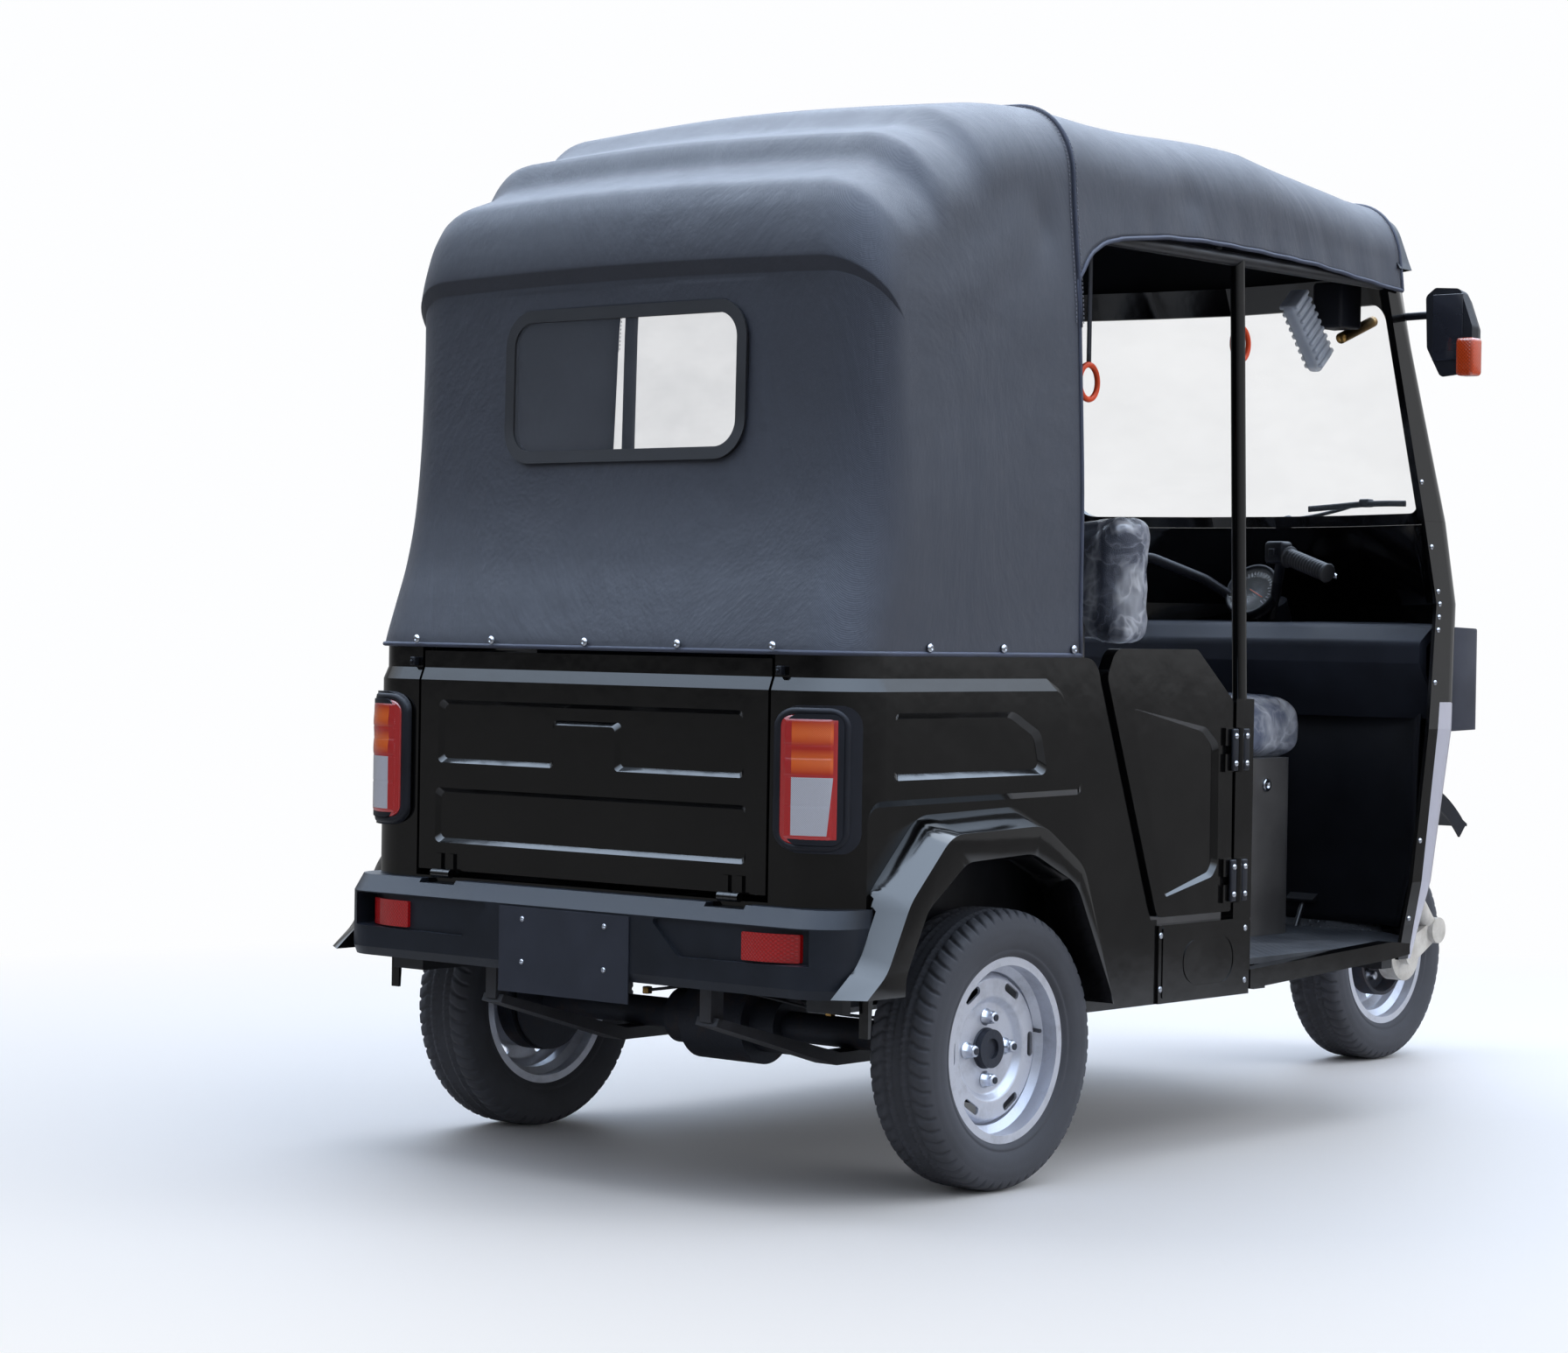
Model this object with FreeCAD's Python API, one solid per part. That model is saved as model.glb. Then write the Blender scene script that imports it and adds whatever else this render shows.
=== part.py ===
import FreeCAD, Part
import os
from math import sin, cos, tan, radians, hypot, pi

# Auto rickshaw. Sizes in mm, +X forward, +Y left, +Z up, ground at z 0.
# Every x below is measured from the rear axle; SHIFT_X moves the finished
# nodes so that the origin lies under the middle of the whole vehicle.

# ---- overall
WHEELBASE = 2200.0
REAR_TRACK = 1116.0
REAR_OVERHANG = 475.0
FRONT_OVERHANG = 295.0
SHIFT_X = -(WHEELBASE + FRONT_OVERHANG - REAR_OVERHANG) / 2
ROOF_Z = 1950.0              # crown of the roof at its highest
BODY_HALF = 590.0            # half width over the pressed body
FLARE_HALF = 650.0           # half width over the arch flares
BODY_REAR_X = -430.0
BODY_CORNER_R = 110.0
BELT_Z = 934.0               # top edge of the body, hem of the canopy
BODY_BOTTOM_Z = 290.0
WALL = 25.0                  # side panels, doors and tailgate
SEAT_GAP = 0.3               # gap where one piece seats on another
CREASE_Z, CREASE_RISE, PROUD = 895.0, 22.0, 9.0   # body below the crease stands proud
SEAM_FOOT = (479.0, 447.0)   # lower end of the slanting seam at the door

# ---- wheels
TYRE_R, TYRE_W = 247.0, 135.0
TREAD_HALF, SHOULDER_R, SHOULDER_HALF = 44.0, 238.0, 60.0
BEAD_R, BEAD_HALF = 153.0, 48.5
RIM_R, RIM_HALF = 172.0, 54.0
RIM_WALL = 4.0
RIM_SEAT_R = BEAD_R - SEAT_GAP
DISC_BORE_R = 35.0
DISC_OUT = 8.0               # outer face of the wheel disc from the wheel centre
SLOT_R, SLOT_LONG, SLOT_WIDE, SLOT_COUNT = 112.0, 44.0, 15.0, 6
STUD_PCD_R, STUD_R, STUD_COUNT = 55.0, 6.0, 4
DRUM_R, DRUM_LONG = 98.0, 52.0
STUB_R, STUB_FIT = 18.0, 0.05

# ---- steering and front suspension
RAKE = 25.0                  # steering axis from the vertical, degrees
AXIS_GROUND_X = 2260.0       # where the steering axis meets the ground
HEAD_LOW, HEAD_HIGH = 850.0, 1085.0     # head tube, distance up the axis
HEAD_R, STEM_R, STEM_FIT = 36.0, 25.0, 0.05
STEM_LOW, STEM_HIGH = 566.0, 1160.0
GUARD_IN_R, GUARD_WALL, GUARD_HALF = 404.0, 5.0, 95.0
GUARD_FRONT, GUARD_REAR = 45.0, 128.0   # ends of the mudguard, degrees above the wheel axis
LEG_Y, LEG_R = -118.0, 20.0
PIVOT_X, PIVOT_Z = 2292.0, 300.0
BAR_R, GRIP_R = 11.0, 16.5
GRIP_IN, GRIP_OUT = (1500.0, 215.0, 1148.0), (1466.0, 335.0, 1112.0)
STEER_DEG = 30.0

# ---- tailgate and doors
GATE_HALF, GATE_LOW, GATE_HIGH = 422.0, 526.0, 926.0
GATE_PIN_X, GATE_PIN_Z = -440.0, 520.0
PIN_R, PIN_FIT, KNUCKLE_R, KNUCKLE_LONG = 4.0, 0.05, 8.0, 15.0
GATE_MOUTH_HALF = 428.0
DOOR_PIN_X, DOOR_PIN_Y = 742.0, 598.0
DOOR_FRONT_X, DOOR_LOW, DOOR_HIGH = 733.0, 452.0, 950.0
SEAM = 6.0                   # gap round doors and tailgate
GATE_HINGES = (-350.0, 350.0)
DOOR_HINGES = (511.0, 760.0)

# ---- canopy
CANOPY_WALL = 4.0
SIDE_MOUTH_X = 232.0         # front edge of the closed canopy sides
EAVE_Z, VALANCE_Z, SHOULDER = 1752.0, 1716.0, 100.0
HEM_TALL, RAIL_END_X = 12.0, 1349.5
RAIL_LOW_Z, RAIL_Y, RAIL_R = 1702.0, 534.0, 13.0
POST_Y, POST_FOOT_X, POST_TOP_X, HOOP_R = 551.0, 779.0, 812.0, 9.0
BOW_X, BOW_Z = -268.0, 1712.0
HOOPS = (
    # x, crown height, how much the roof is narrower there
    (246.0, 1930.0, 0.0),
    (740.0, 1928.0, 4.5),
    (1322.0, 1878.0, 13.0),
)
SCREEN_LOW, SCREEN_HIGH = 1220.0, 1700.0
WINDOW_HALF, WINDOW_LOW, WINDOW_HIGH, WINDOW_R = 270.0, 1291.0, 1525.0, 45.0
GASKET_WIDE = 22.0

# ---- rear lamps, bumper, plate
LAMP_INNER, LAMP_OUTER = 11.3, 148.0      # sides of the corner lamp, square to its diagonal
LAMP_LOW, LAMP_HIGH, LAMP_R = 602.0, 849.0, 35.0
BEZEL_PROUD, LENS_PROUD = 10.0, 16.0
RIM_INNER, RIM_OUTER, RIM_ENDS = 6.0, 28.0, 10.0   # width of the bezel round the lens
BUMPER_LOW, BUMPER_HIGH, BUMPER_HALF, BUMPER_R = 361.0, 509.0, 600.0, 165.0
FLARE_FOOT, FLARE_SLOPE = 366.0, 30.0
PLATE_WIDE, PLATE_TALL, PLATE_Y, PLATE_LOW = 316.0, 152.0, 8.0, 323.0
PLATE_T, POCKET = 2.5, 8.0
PLATE_HOLE_Y, PLATE_HOLE_Z, PLATE_HOLE_LOW, PLATE_HOLE_R = 200.0, 76.0, 378.0, 3.3
BUMPER_X = -REAR_OVERHANG + PLATE_T + SEAT_GAP

# ---- floor, frame, seats
FLOOR_Z, FLOOR_T = 352.0, 12.0
RAIL_HALF, FRAME_W, FRAME_H = 262.0, 40.0, 63.7
FRAME_LOW, KICK_LOW, KICK_X = 276.0, 372.0, 262.0
DIFF_Y, DIFF_R, AXLE_R = 16.0, 75.0, 28.0
TUB_IN, TUB_TOP = 468.0, 612.0
BENCH_BACK_X, BENCH_FRONT_X, BENCH_Z = -70.0, 300.0, 690.0
DRIVER_X0, DRIVER_X1, DRIVER_HALF, DRIVER_Z = 900.0, 1440.0, 285.0, 722.0
ENGINE_X0, ENGINE_X1, ENGINE_HALF, ENGINE_LOW = 1000.0, 1340.0, 190.0, 246.0

V = FreeCAD.Vector
X, Y, Z = V(1, 0, 0), V(0, 1, 0), V(0, 0, 1)


# ---------------------------------------------------------------- helpers
def corner_path(points, closed):
    """Straight edges with an arc at each corner that names a radius.

    A radius too large for its two edges is brought down to what they hold.
    """
    n = len(points)
    pts = [p[0] for p in points]
    rad = [p[1] for p in points]
    ins, outs, mids = [], [], []
    for i in range(n):
        p = pts[i]
        ends = not closed and i in (0, n - 1)
        if ends or rad[i] <= 0:
            ins.append(p), outs.append(p), mids.append(None)
            continue
        a, b = pts[i - 1] - p, pts[(i + 1) % n] - p
        room = 0.49 * min(a.Length, b.Length)
        a.normalize(), b.normalize()
        half = a.getAngle(b) / 2
        d = min(rad[i] / tan(half), room)
        r = d * tan(half)
        ins.append(p + a * d)
        outs.append(p + b * d)
        mids.append(p + (a + b).normalize() * (r / sin(half) - r))
    edges = []
    for i in range(n):
        if mids[i] is not None:
            edges.append(Part.Arc(ins[i], mids[i], outs[i]).toShape())
        j = (i + 1) % n
        if (closed or i < n - 1) and (outs[i] - ins[j]).Length > 1e-6:
            edges.append(Part.makeLine(outs[i], ins[j]))
    return Part.Wire(edges)


def flat(points, place):
    """Closed outline from (a, b) or (a, b, radius) points put in a plane."""
    return corner_path([(place(p[0], p[1]), p[2] if len(p) > 2 else 0) for p in points], True)


def slab_y(points, y0, y1):
    face = Part.Face(flat(points, lambda a, b: V(a, y0, b)))
    return face.extrude(V(0, y1 - y0, 0))


def slab_x(points, x0, x1):
    face = Part.Face(flat(points, lambda a, b: V(x0, a, b)))
    return face.extrude(V(x1 - x0, 0, 0))


def slab_z(points, z0, z1):
    face = Part.Face(flat(points, lambda a, b: V(a, b, z0)))
    return face.extrude(V(0, 0, z1 - z0))


def box(x0, x1, y0, y1, z0, z1):
    return Part.makeBox(x1 - x0, y1 - y0, z1 - z0, V(x0, y0, z0))


def rod(start, end, r):
    d = end - start
    return Part.makeCylinder(r, d.Length, start, d)


def pipe(points, r, bend=40.0):
    """Round bar along a bent path; every inner corner has radius bend."""
    path = corner_path([(V(*p[:3]), p[3] if len(p) > 3 else bend) for p in points], False)
    d = (V(*points[1][:3]) - V(*points[0][:3])).normalize()
    ring = Part.Wire(Part.makeCircle(r, V(*points[0][:3]), d))
    return path.makePipeShell([ring], True, False)


def turned(points, centre, axis_turn=None):
    """Solid of revolution about the wheel axis (Y) from (radius, offset) points."""
    face = Part.Face(flat(points, lambda r, a: V(0, a, r)))
    solid = face.revolve(V(0, 0, 0), Y, 360)
    return solid.translated(centre)


def mirrored(shape):
    return shape.mirror(V(0, 0, 0), Y)


def both(half):
    """Right half joined with its mirror image."""
    return join(half, mirrored(half))


def join(*shapes):
    out = shapes[0]
    if len(shapes) > 1:
        out = out.fuse(list(shapes[1:])).removeSplitter()
    return out


def less(shape, *tools):
    return shape.cut(list(tools)) if tools else shape


def axis_point(s, side=0.0, ahead=0.0):
    """Point s up the steering axis, then moved sideways and ahead of it."""
    a = radians(RAKE)
    return V(AXIS_GROUND_X - s * sin(a) + ahead * cos(a), side, s * cos(a) + ahead * sin(a))


AXIS_DIR = V(-sin(radians(RAKE)), 0, cos(radians(RAKE)))


def body_plan(out, x_front, half=BODY_HALF, rear=BODY_REAR_X, r=BODY_CORNER_R):
    """Rounded plan of the rear body grown outwards by out."""
    return [(rear - out, -half - out, r + out), (x_front, -half - out),
            (x_front, half + out), (rear - out, half + out, r + out)]


def loft(wires):
    return Part.makeLoft(wires, True, True)


# ------------------------------------------------------------ rear body
def shrunk(points, d):
    """Closed outline of (a, b) or (a, b, radius) points drawn inwards by d."""
    n = len(points)
    area = sum(points[i - 1][0] * points[i][1] - points[i][0] * points[i - 1][1] for i in range(n))
    turn = 1.0 if area > 0 else -1.0
    out = []
    for i in range(n):
        a, b, c = points[i - 1], points[i], points[(i + 1) % n]
        la, lc = hypot(b[0] - a[0], b[1] - a[1]), hypot(c[0] - b[0], c[1] - b[1])
        ux, uy, vx, vy = (b[0] - a[0]) / la, (b[1] - a[1]) / la, (c[0] - b[0]) / lc, (c[1] - b[1]) / lc
        k = turn * d / (1.0 + ux * vx + uy * vy)
        out.append((b[0] - k * (uy + vy), b[1] + k * (ux + vx)) + tuple(b[2:]))
    return out


def pressed_y(points, y0, y1, draft):
    """Solid from an outline at y0 to the same outline drawn in by draft at y1."""
    return loft([flat(points, lambda a, b: V(a, y0, b)), flat(shrunk(points, draft), lambda a, b: V(a, y1, b))])


def pressed_x(points, x0, x1, draft):
    return loft([flat(points, lambda a, b: V(x0, a, b)), flat(shrunk(points, draft), lambda a, b: V(x1, a, b))])


def arch_cut(side):
    """Mouth of the wheel arch in the side panel."""
    pts = [(-345, 200), (-330, 400, 60), (-273, 508, 60), (-167, 584, 60), (20, 592, 80),
           (151, 533, 80), (262, 330, 60), (290, 200)]
    return slab_y(pts, side * 440, side * 700)


def crease_cut():
    """What is taken off the body above its crease line, all the way round."""
    big = slab_z(body_plan(20, 700), CREASE_Z - CREASE_RISE, BELT_Z + 10)
    rows = ((CREASE_Z - CREASE_RISE, 0.0), (CREASE_Z, -PROUD), (BELT_Z + 10, -PROUD))
    wires = [flat(body_plan(out, 720), lambda a, b, z=z: V(a, b, z)) for z, out in rows]
    return less(big, loft(wires))


def side_panel():
    outer = slab_z(body_plan(0, 560), BODY_BOTTOM_Z, BELT_Z)
    inner = slab_z(body_plan(-WALL, 600), BODY_BOTTOM_Z - 5, BELT_Z + 5)
    ring = less(outer, inner)
    half = box(-600, 700, -700, -GATE_MOUTH_HALF, 200, 1000)
    ahead = [(238, 980), (238, BELT_Z + 0.5), (294, BELT_Z - 4, 48), SEAM_FOOT, (500, 447), (500, 200), (900, 200),
             (900, 980)]
    low_field = [(-367, 180), (-367, 690, 30), (245, 698, 16), (183, 862, 40), (105, 900), (105, 990), (700, 990),
                 (700, 180)]
    pocket = [(-298, 838, 12), (38, 838, 50), (118, 800, 30), (140, 724, 14), (-298, 722, 12)]
    panel = ring.common(half)
    under = box(-600, -345, -700, -400, 200, FLARE_FOOT)
    return less(panel, under, crease_cut(), pressed_y(low_field, -BODY_HALF - 1, -BODY_HALF + PROUD, 12),
                pressed_y(pocket, -BODY_HALF - 1, -BODY_HALF + 10, 11), slab_y(ahead, -700, -400), arch_cut(-1))


def arch_flare():
    """Wheel arch flare: a sloping shoulder that runs out to a flat outer rim."""
    outer = [(-482, FLARE_FOOT, 4), (-405, 425, 90), (-345, 540, 120), (-222, 662, 80), (60, 670, 90),
             (196, 584, 80), (302, 313, 4), (302, 250), (-482, 250)]
    solid = pressed_y(outer, -BODY_HALF + PROUD - SEAT_GAP, -FLARE_HALF, FLARE_SLOPE)
    solid = less(solid, arch_cut(-1), box(-600, 0, -700, -500, 200, FLARE_FOOT), box(0, 400, -700, -500, 200, 313))
    proud_field = box(-600, -347, -BODY_HALF - SEAT_GAP, -500, 200, 700)
    return less(solid, proud_field, box(-600, -353, -BUMPER_HALF - SEAT_GAP, -500, 200, BUMPER_HIGH + 4))


def wheel_tub():
    """Inner arch: top and inner wall between the side panel and the deck."""
    outer = box(-372, 300, -BODY_HALF + WALL, -TUB_IN, 330, TUB_TOP)
    inner = box(-360, 288, -BODY_HALF, -TUB_IN - 10, 300, TUB_TOP - 10)
    room = slab_z(body_plan(-WALL - SEAT_GAP, 400), 200, 700)
    return less(outer, inner).common(room)


def rear_valance():
    """Fixed panel under the tailgate, behind the bumper."""
    panel = box(BODY_REAR_X, BODY_REAR_X + WALL, -GATE_MOUTH_HALF + SEAT_GAP,
                GATE_MOUTH_HALF - SEAT_GAP, FLARE_FOOT + 4, GATE_LOW - 2 * SEAM)
    parts = [panel]
    for y in GATE_HINGES:
        y0 = y - KNUCKLE_LONG / 2
        parts.append(rod(V(GATE_PIN_X, y0, GATE_PIN_Z), V(GATE_PIN_X, y0 + KNUCKLE_LONG, GATE_PIN_Z), KNUCKLE_R))
        parts.append(box(GATE_PIN_X, BODY_REAR_X + 6, y0, y0 + KNUCKLE_LONG, GATE_PIN_Z - 8, GATE_PIN_Z - 4))
    bores = [rod(V(GATE_PIN_X, y - 40, GATE_PIN_Z), V(GATE_PIN_X, y + 40, GATE_PIN_Z), PIN_R + PIN_FIT)
             for y in GATE_HINGES]
    return less(join(*parts), *bores)


def luggage_deck():
    deck = box(BODY_REAR_X + WALL + SEAT_GAP, BENCH_BACK_X, -TUB_IN + SEAT_GAP, TUB_IN - SEAT_GAP,
               GATE_LOW - 26, GATE_LOW - 14)
    return deck


def bumper_shell(out, x_front):
    """Upright block on the bumper's plan grown by out."""
    return slab_z(body_plan(out, x_front, BUMPER_HALF, BUMPER_X, BUMPER_R), BUMPER_LOW - 20, BUMPER_HIGH + 20)


def bumper():
    """Moulded bumper with a sloping top edge, wrapped round both corners."""
    rows = ((BUMPER_LOW, 8.0, 2.0, 8.0), (BUMPER_LOW + 16, 0.0, 0.0, 0.0),
            (BUMPER_HIGH - 30, 0.0, 0.0, 0.0), (BUMPER_HIGH, 24.0, 6.0, 30.0))
    wires = [flat(body_plan(0, -300, BUMPER_HALF - side, BUMPER_X + back, BUMPER_R - tight),
                  lambda a, b, z=z: V(a, b, z)) for z, back, side, tight in rows]
    core = slab_z(body_plan(SEAT_GAP, 0), BUMPER_LOW - 5, BUMPER_HIGH + 5)
    skin = less(loft(wires), core, box(-354, 0, -700, 700, 300, 600))
    field = less(bumper_shell(30, -60), bumper_shell(-POCKET, -60))
    for side in (-1, 1):
        pocket = [(side * 190, 479, 6), (side * 558, 479, 6), (side * 558, 414, 6), (side * 262, 411, 14)]
        skin = less(skin, pressed_x(pocket, BUMPER_X - 30, BUMPER_X + 90, 8).common(field))
    notches = [box(GATE_PIN_X - 14, GATE_PIN_X + 14, y - 45, y + 45, BUMPER_HIGH - 8, BUMPER_HIGH + 20)
               for y in GATE_HINGES]
    return less(skin, *plate_holes(), *notches)


def reflectors():
    """Red plates that lie in the bumper's pockets and follow its curve."""
    shell = less(bumper_shell(-1, -60), bumper_shell(-POCKET + SEAT_GAP, -60))
    outline = [(-517, 419, 3), (-406, 419, 3), (-406, 467, 3), (-517, 467, 3)]
    right = shell.common(slab_x(outline, BUMPER_X - 20, BUMPER_X + 120))
    return Part.makeCompound([right, mirrored(right)])


def plate_holes():
    """Four screw holes that run through the plate and into the bumper."""
    return [rod(V(BUMPER_X - 10, PLATE_Y + sy * PLATE_HOLE_Y / 2, z), V(BUMPER_X + 16, PLATE_Y + sy * PLATE_HOLE_Y / 2, z),
                PLATE_HOLE_R) for sy in (-1, 1) for z in (PLATE_HOLE_LOW, PLATE_HOLE_LOW + PLATE_HOLE_Z)]


def number_plate():
    y0 = PLATE_Y - PLATE_WIDE / 2
    x1 = BUMPER_X - SEAT_GAP
    plate = box(x1 - PLATE_T, x1, y0, y0 + PLATE_WIDE, PLATE_LOW, PLATE_LOW + PLATE_TALL)
    return less(plate, *plate_holes())


def lamp_outline(rim=0.0, more=0.0):
    """Block that looks squarely at the body's corner; rim 1 draws it in to the lens."""
    d = V(1, 1, 0).normalize()
    e = V(1, -1, 0).normalize()
    start = d * -900
    a0, a1 = LAMP_INNER + rim * RIM_INNER + more, LAMP_OUTER - rim * RIM_OUTER - more
    z0, z1 = LAMP_LOW + rim * RIM_ENDS + more, LAMP_HIGH - rim * RIM_ENDS - more
    r = LAMP_R - rim * RIM_ENDS - more
    face = Part.Face(flat([(a0, z0, r), (a1, z0, r), (a1, z1, r), (a0, z1, r)], lambda a, b: start + e * a + Z * b))
    return face.extrude(d * 420)


def tail_lamp():
    """Corner lamp: a raised bezel round a lens that bulges out of it."""
    core = slab_z(body_plan(SEAT_GAP, 0), 500, 950)
    corner = box(-600, -300, -700, -GATE_MOUTH_HALF - 8, 500, 950)

    def layer(proud, *outline):
        return less(slab_z(body_plan(proud, 0), 500, 950), core).common(lamp_outline(*outline)).common(corner)

    bezel = less(layer(BEZEL_PROUD), layer(BEZEL_PROUD + 5, 1))
    return join(bezel, layer(BEZEL_PROUD - 6, 1, -2), layer(LENS_PROUD, 1, 4))


def tailgate():
    gate = box(BODY_REAR_X, BODY_REAR_X + WALL, -GATE_HALF, GATE_HALF, GATE_LOW, GATE_HIGH)
    upper = [(376, 721, 10), (376, 838, 14), (-370, 838, 14), (-370, 721, 10), (-67, 721, 8), (-67, 798, 10),
             (81, 798, 10), (81, 721, 8)]
    lower = [(-378, 575, 12), (382, 575, 12), (382, 677, 12), (-378, 677, 12)]
    field = [pressed_x(p, BODY_REAR_X - 1, BODY_REAR_X + 8, 9) for p in (upper, lower)]
    gate = less(gate, *field, crease_cut())
    knuckles = []
    inner, outer = KNUCKLE_LONG / 2 + 0.5, KNUCKLE_LONG / 2 + 16
    for y in GATE_HINGES:
        knuckles.append(rod(V(GATE_PIN_X, y - outer, GATE_PIN_Z), V(GATE_PIN_X, y + outer, GATE_PIN_Z), PIN_R))
        for y0, y1 in ((y - outer, y - inner), (y + inner, y + outer)):
            knuckles.append(rod(V(GATE_PIN_X, y0, GATE_PIN_Z), V(GATE_PIN_X, y1, GATE_PIN_Z), KNUCKLE_R))
            knuckles.append(box(GATE_PIN_X, BODY_REAR_X, y0, y1, GATE_PIN_Z + 3, GATE_PIN_Z + 8))
            knuckles.append(box(BODY_REAR_X - 5, BODY_REAR_X, y0, y1, GATE_PIN_Z + 3, GATE_LOW + 30))
    return join(gate, *knuckles)


# ------------------------------------------------------------ canopy
def hood_profile(inset):
    """Side outline of the rear hood with its stepped folds."""
    k = inset
    return [(-430 + k, BELT_Z - 1), (-414 + k, 990, 200), (-368 + k, 1150, 400), (-350 + k, 1330, 400),
            (-347 + k, 1596), (-361 + k, 1604, 4), (-352 + k, 1670, 80), (-322 + k, 1752 - k / 2, 12),
            (-238 + k, 1786 - k, 60), (-190 + k, 1846 - k, 20), (-100 + k, 1872 - k, 60), (-50 + k, 1912 - k, 60),
            (70, ROOF_Z - 12 - k, 200), (262, ROOF_Z - 8 - k), (262, BELT_Z - 1)]


def hood_section(inset, top, low, half=BODY_HALF):
    """Cross outline of the hood; top is the crown height."""
    h, k = half, inset
    return [(-h + k, low), (-h + 20 + k, 1560, 600), (-h + 40 + k, EAVE_Z, 80),
            (-h + SHOULDER, top - 8 - k, 130), (0, top + 4 - k, 1500), (h - SHOULDER, top - 8 - k, 130),
            (h - 40 - k, EAVE_Z, 80), (h - 20 - k, 1560, 600), (h - k, low)]


def hood_volume(inset):
    side = slab_y(hood_profile(inset), -700, 700)
    cross = slab_x(hood_section(inset, ROOF_Z - 8, BELT_Z - 1), -600, 240)
    wires = []
    for z, rear, r in ((BELT_Z - 2, BODY_REAR_X, 110.0), (ROOF_Z + 20, -366.0, 250.0)):
        wires.append(flat(body_plan(-inset, 300, BODY_HALF, rear, r), lambda a, b, z=z: V(a, b, z)))
    return side.common(cross).common(loft(wires))


ROOF_STATIONS = ((240.0, ROOF_Z - 8, 0.0), (900.0, ROOF_Z - 10, 6.0), (1130.0, 1920.0, 10.0),
                 (1385.0, 1884.0, 14.0))


def roof_wire(x, top, tuck, inset, low):
    h, k = BODY_HALF - tuck, inset
    pts = [(-h + 30 + k, low), (-h + 40 + k, EAVE_Z, 80), (-h + SHOULDER, top - 8 - k, 130),
           (0, top + 4 - k, 1500), (h - SHOULDER, top - 8 - k, 130), (h - 40 - k, EAVE_Z, 80),
           (h - 30 - k, low)]
    return flat(pts, lambda a, b: V(x, a, b))


def roof_volume(inset):
    low = VALANCE_Z
    wires = [roof_wire(x, top, tuck, inset, low - (2 if inset else 0)) for x, top, tuck in ROOF_STATIONS]
    return loft(wires)


def window_prism(grow, x0=-420.0, x1=-250.0):
    h, z0, z1, r = WINDOW_HALF + grow, WINDOW_LOW - grow, WINDOW_HIGH + grow, WINDOW_R + grow
    return slab_x([(-h, z0, r), (h, z0, r), (h, z1, r), (-h, z1, r)], x0, x1)


def canopy():
    """Stepped rear hood and roof in one skin, with a stiff hem on the body."""
    rear = less(hood_volume(0), hood_volume(CANOPY_WALL), window_prism(GASKET_WIDE / 2),
                box(-700, 300, -700, 700, BELT_Z - 20, BELT_Z + SEAT_GAP))
    front = less(roof_volume(0), roof_volume(CANOPY_WALL))
    hem = less(slab_z(body_plan(-4, 300), BELT_Z + SEAT_GAP, BELT_Z + HEM_TALL),
               slab_z(body_plan(-WALL + 2, 400), BELT_Z - 5, BELT_Z + HEM_TALL + 5))
    mouth = slab_y([(SIDE_MOUTH_X, 800), (SIDE_MOUTH_X, VALANCE_Z, 100), (700, VALANCE_Z), (700, 800)], -700, 700)
    return join(less(join(rear, hem), mouth), front)


def gasket_and_window():
    shell = less(hood_volume(-4), hood_volume(CANOPY_WALL + 4)).common(window_prism(GASKET_WIDE, -400, -300))
    ring = less(shell, window_prism(0, -420, -280))
    lip = less(hood_volume(-SEAT_GAP), hood_volume(CANOPY_WALL + SEAT_GAP))
    ring = less(ring, less(lip, window_prism(GASKET_WIDE / 2 - SEAT_GAP)))
    pane = less(hood_volume(0), hood_volume(CANOPY_WALL)).common(window_prism(-SEAT_GAP))
    return ring, pane


def canopy_posts():
    """Upright tubes at the front edge of the closed sides."""
    x = SIDE_MOUTH_X + 14
    post = pipe([(x, -POST_Y, BELT_Z - 8 + SEAT_GAP), (x, -POST_Y + 11, 1560, 500), (x, -RAIL_Y, RAIL_LOW_Z)], RAIL_R)
    post = less(post, rod(V(0, -RAIL_Y, RAIL_LOW_Z), V(600, -RAIL_Y, RAIL_LOW_Z), RAIL_R + SEAT_GAP))
    return Part.makeCompound([post, mirrored(post)])


def roof_rails():
    rail = rod(V(SIDE_MOUTH_X + 14, -RAIL_Y, RAIL_LOW_Z), V(RAIL_END_X, -RAIL_Y + 12, RAIL_LOW_Z), RAIL_R)
    return Part.makeCompound([rail, mirrored(rail)])


def roof_hoops():
    """Three bows that stand on the side rails and carry the roof."""
    hoops = []
    foot = RAIL_LOW_Z + RAIL_R + SEAT_GAP
    for x, top, tuck in HOOPS:
        y = RAIL_Y - 12 * (x - SIDE_MOUTH_X - 14) / (RAIL_END_X - SIDE_MOUTH_X - 14)
        bend = BODY_HALF - 112 - tuck
        hoops.append(pipe([(x, -y, foot), (x, -y, 1738, 60), (x, -y + 16, 1785, 70), (x, -bend, top - 16, 110), (x, 0, top, 1500),
                           (x, bend, top - 16, 110), (x, y - 16, 1785, 70), (x, y, 1738, 60), (x, y, foot)], HOOP_R))
    return Part.makeCompound(hoops)


def rear_bow():
    """Bent tube that holds the hood's back, from the belt up and across."""
    foot_x = BODY_REAR_X + WALL + 14 + HOOP_R + SEAT_GAP
    half = [(foot_x, 450, BELT_Z - 40), (foot_x + 5, 450, 950, 200), (-340, 446, 1170, 300), (-318, 440, 1500, 400),
            (-286, 430, 1690, 120), (BOW_X, 330, BOW_Z, 80)]
    right = [(p[0], -p[1]) + tuple(p[2:]) for p in half]
    return pipe(right + half[::-1], HOOP_R)


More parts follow.
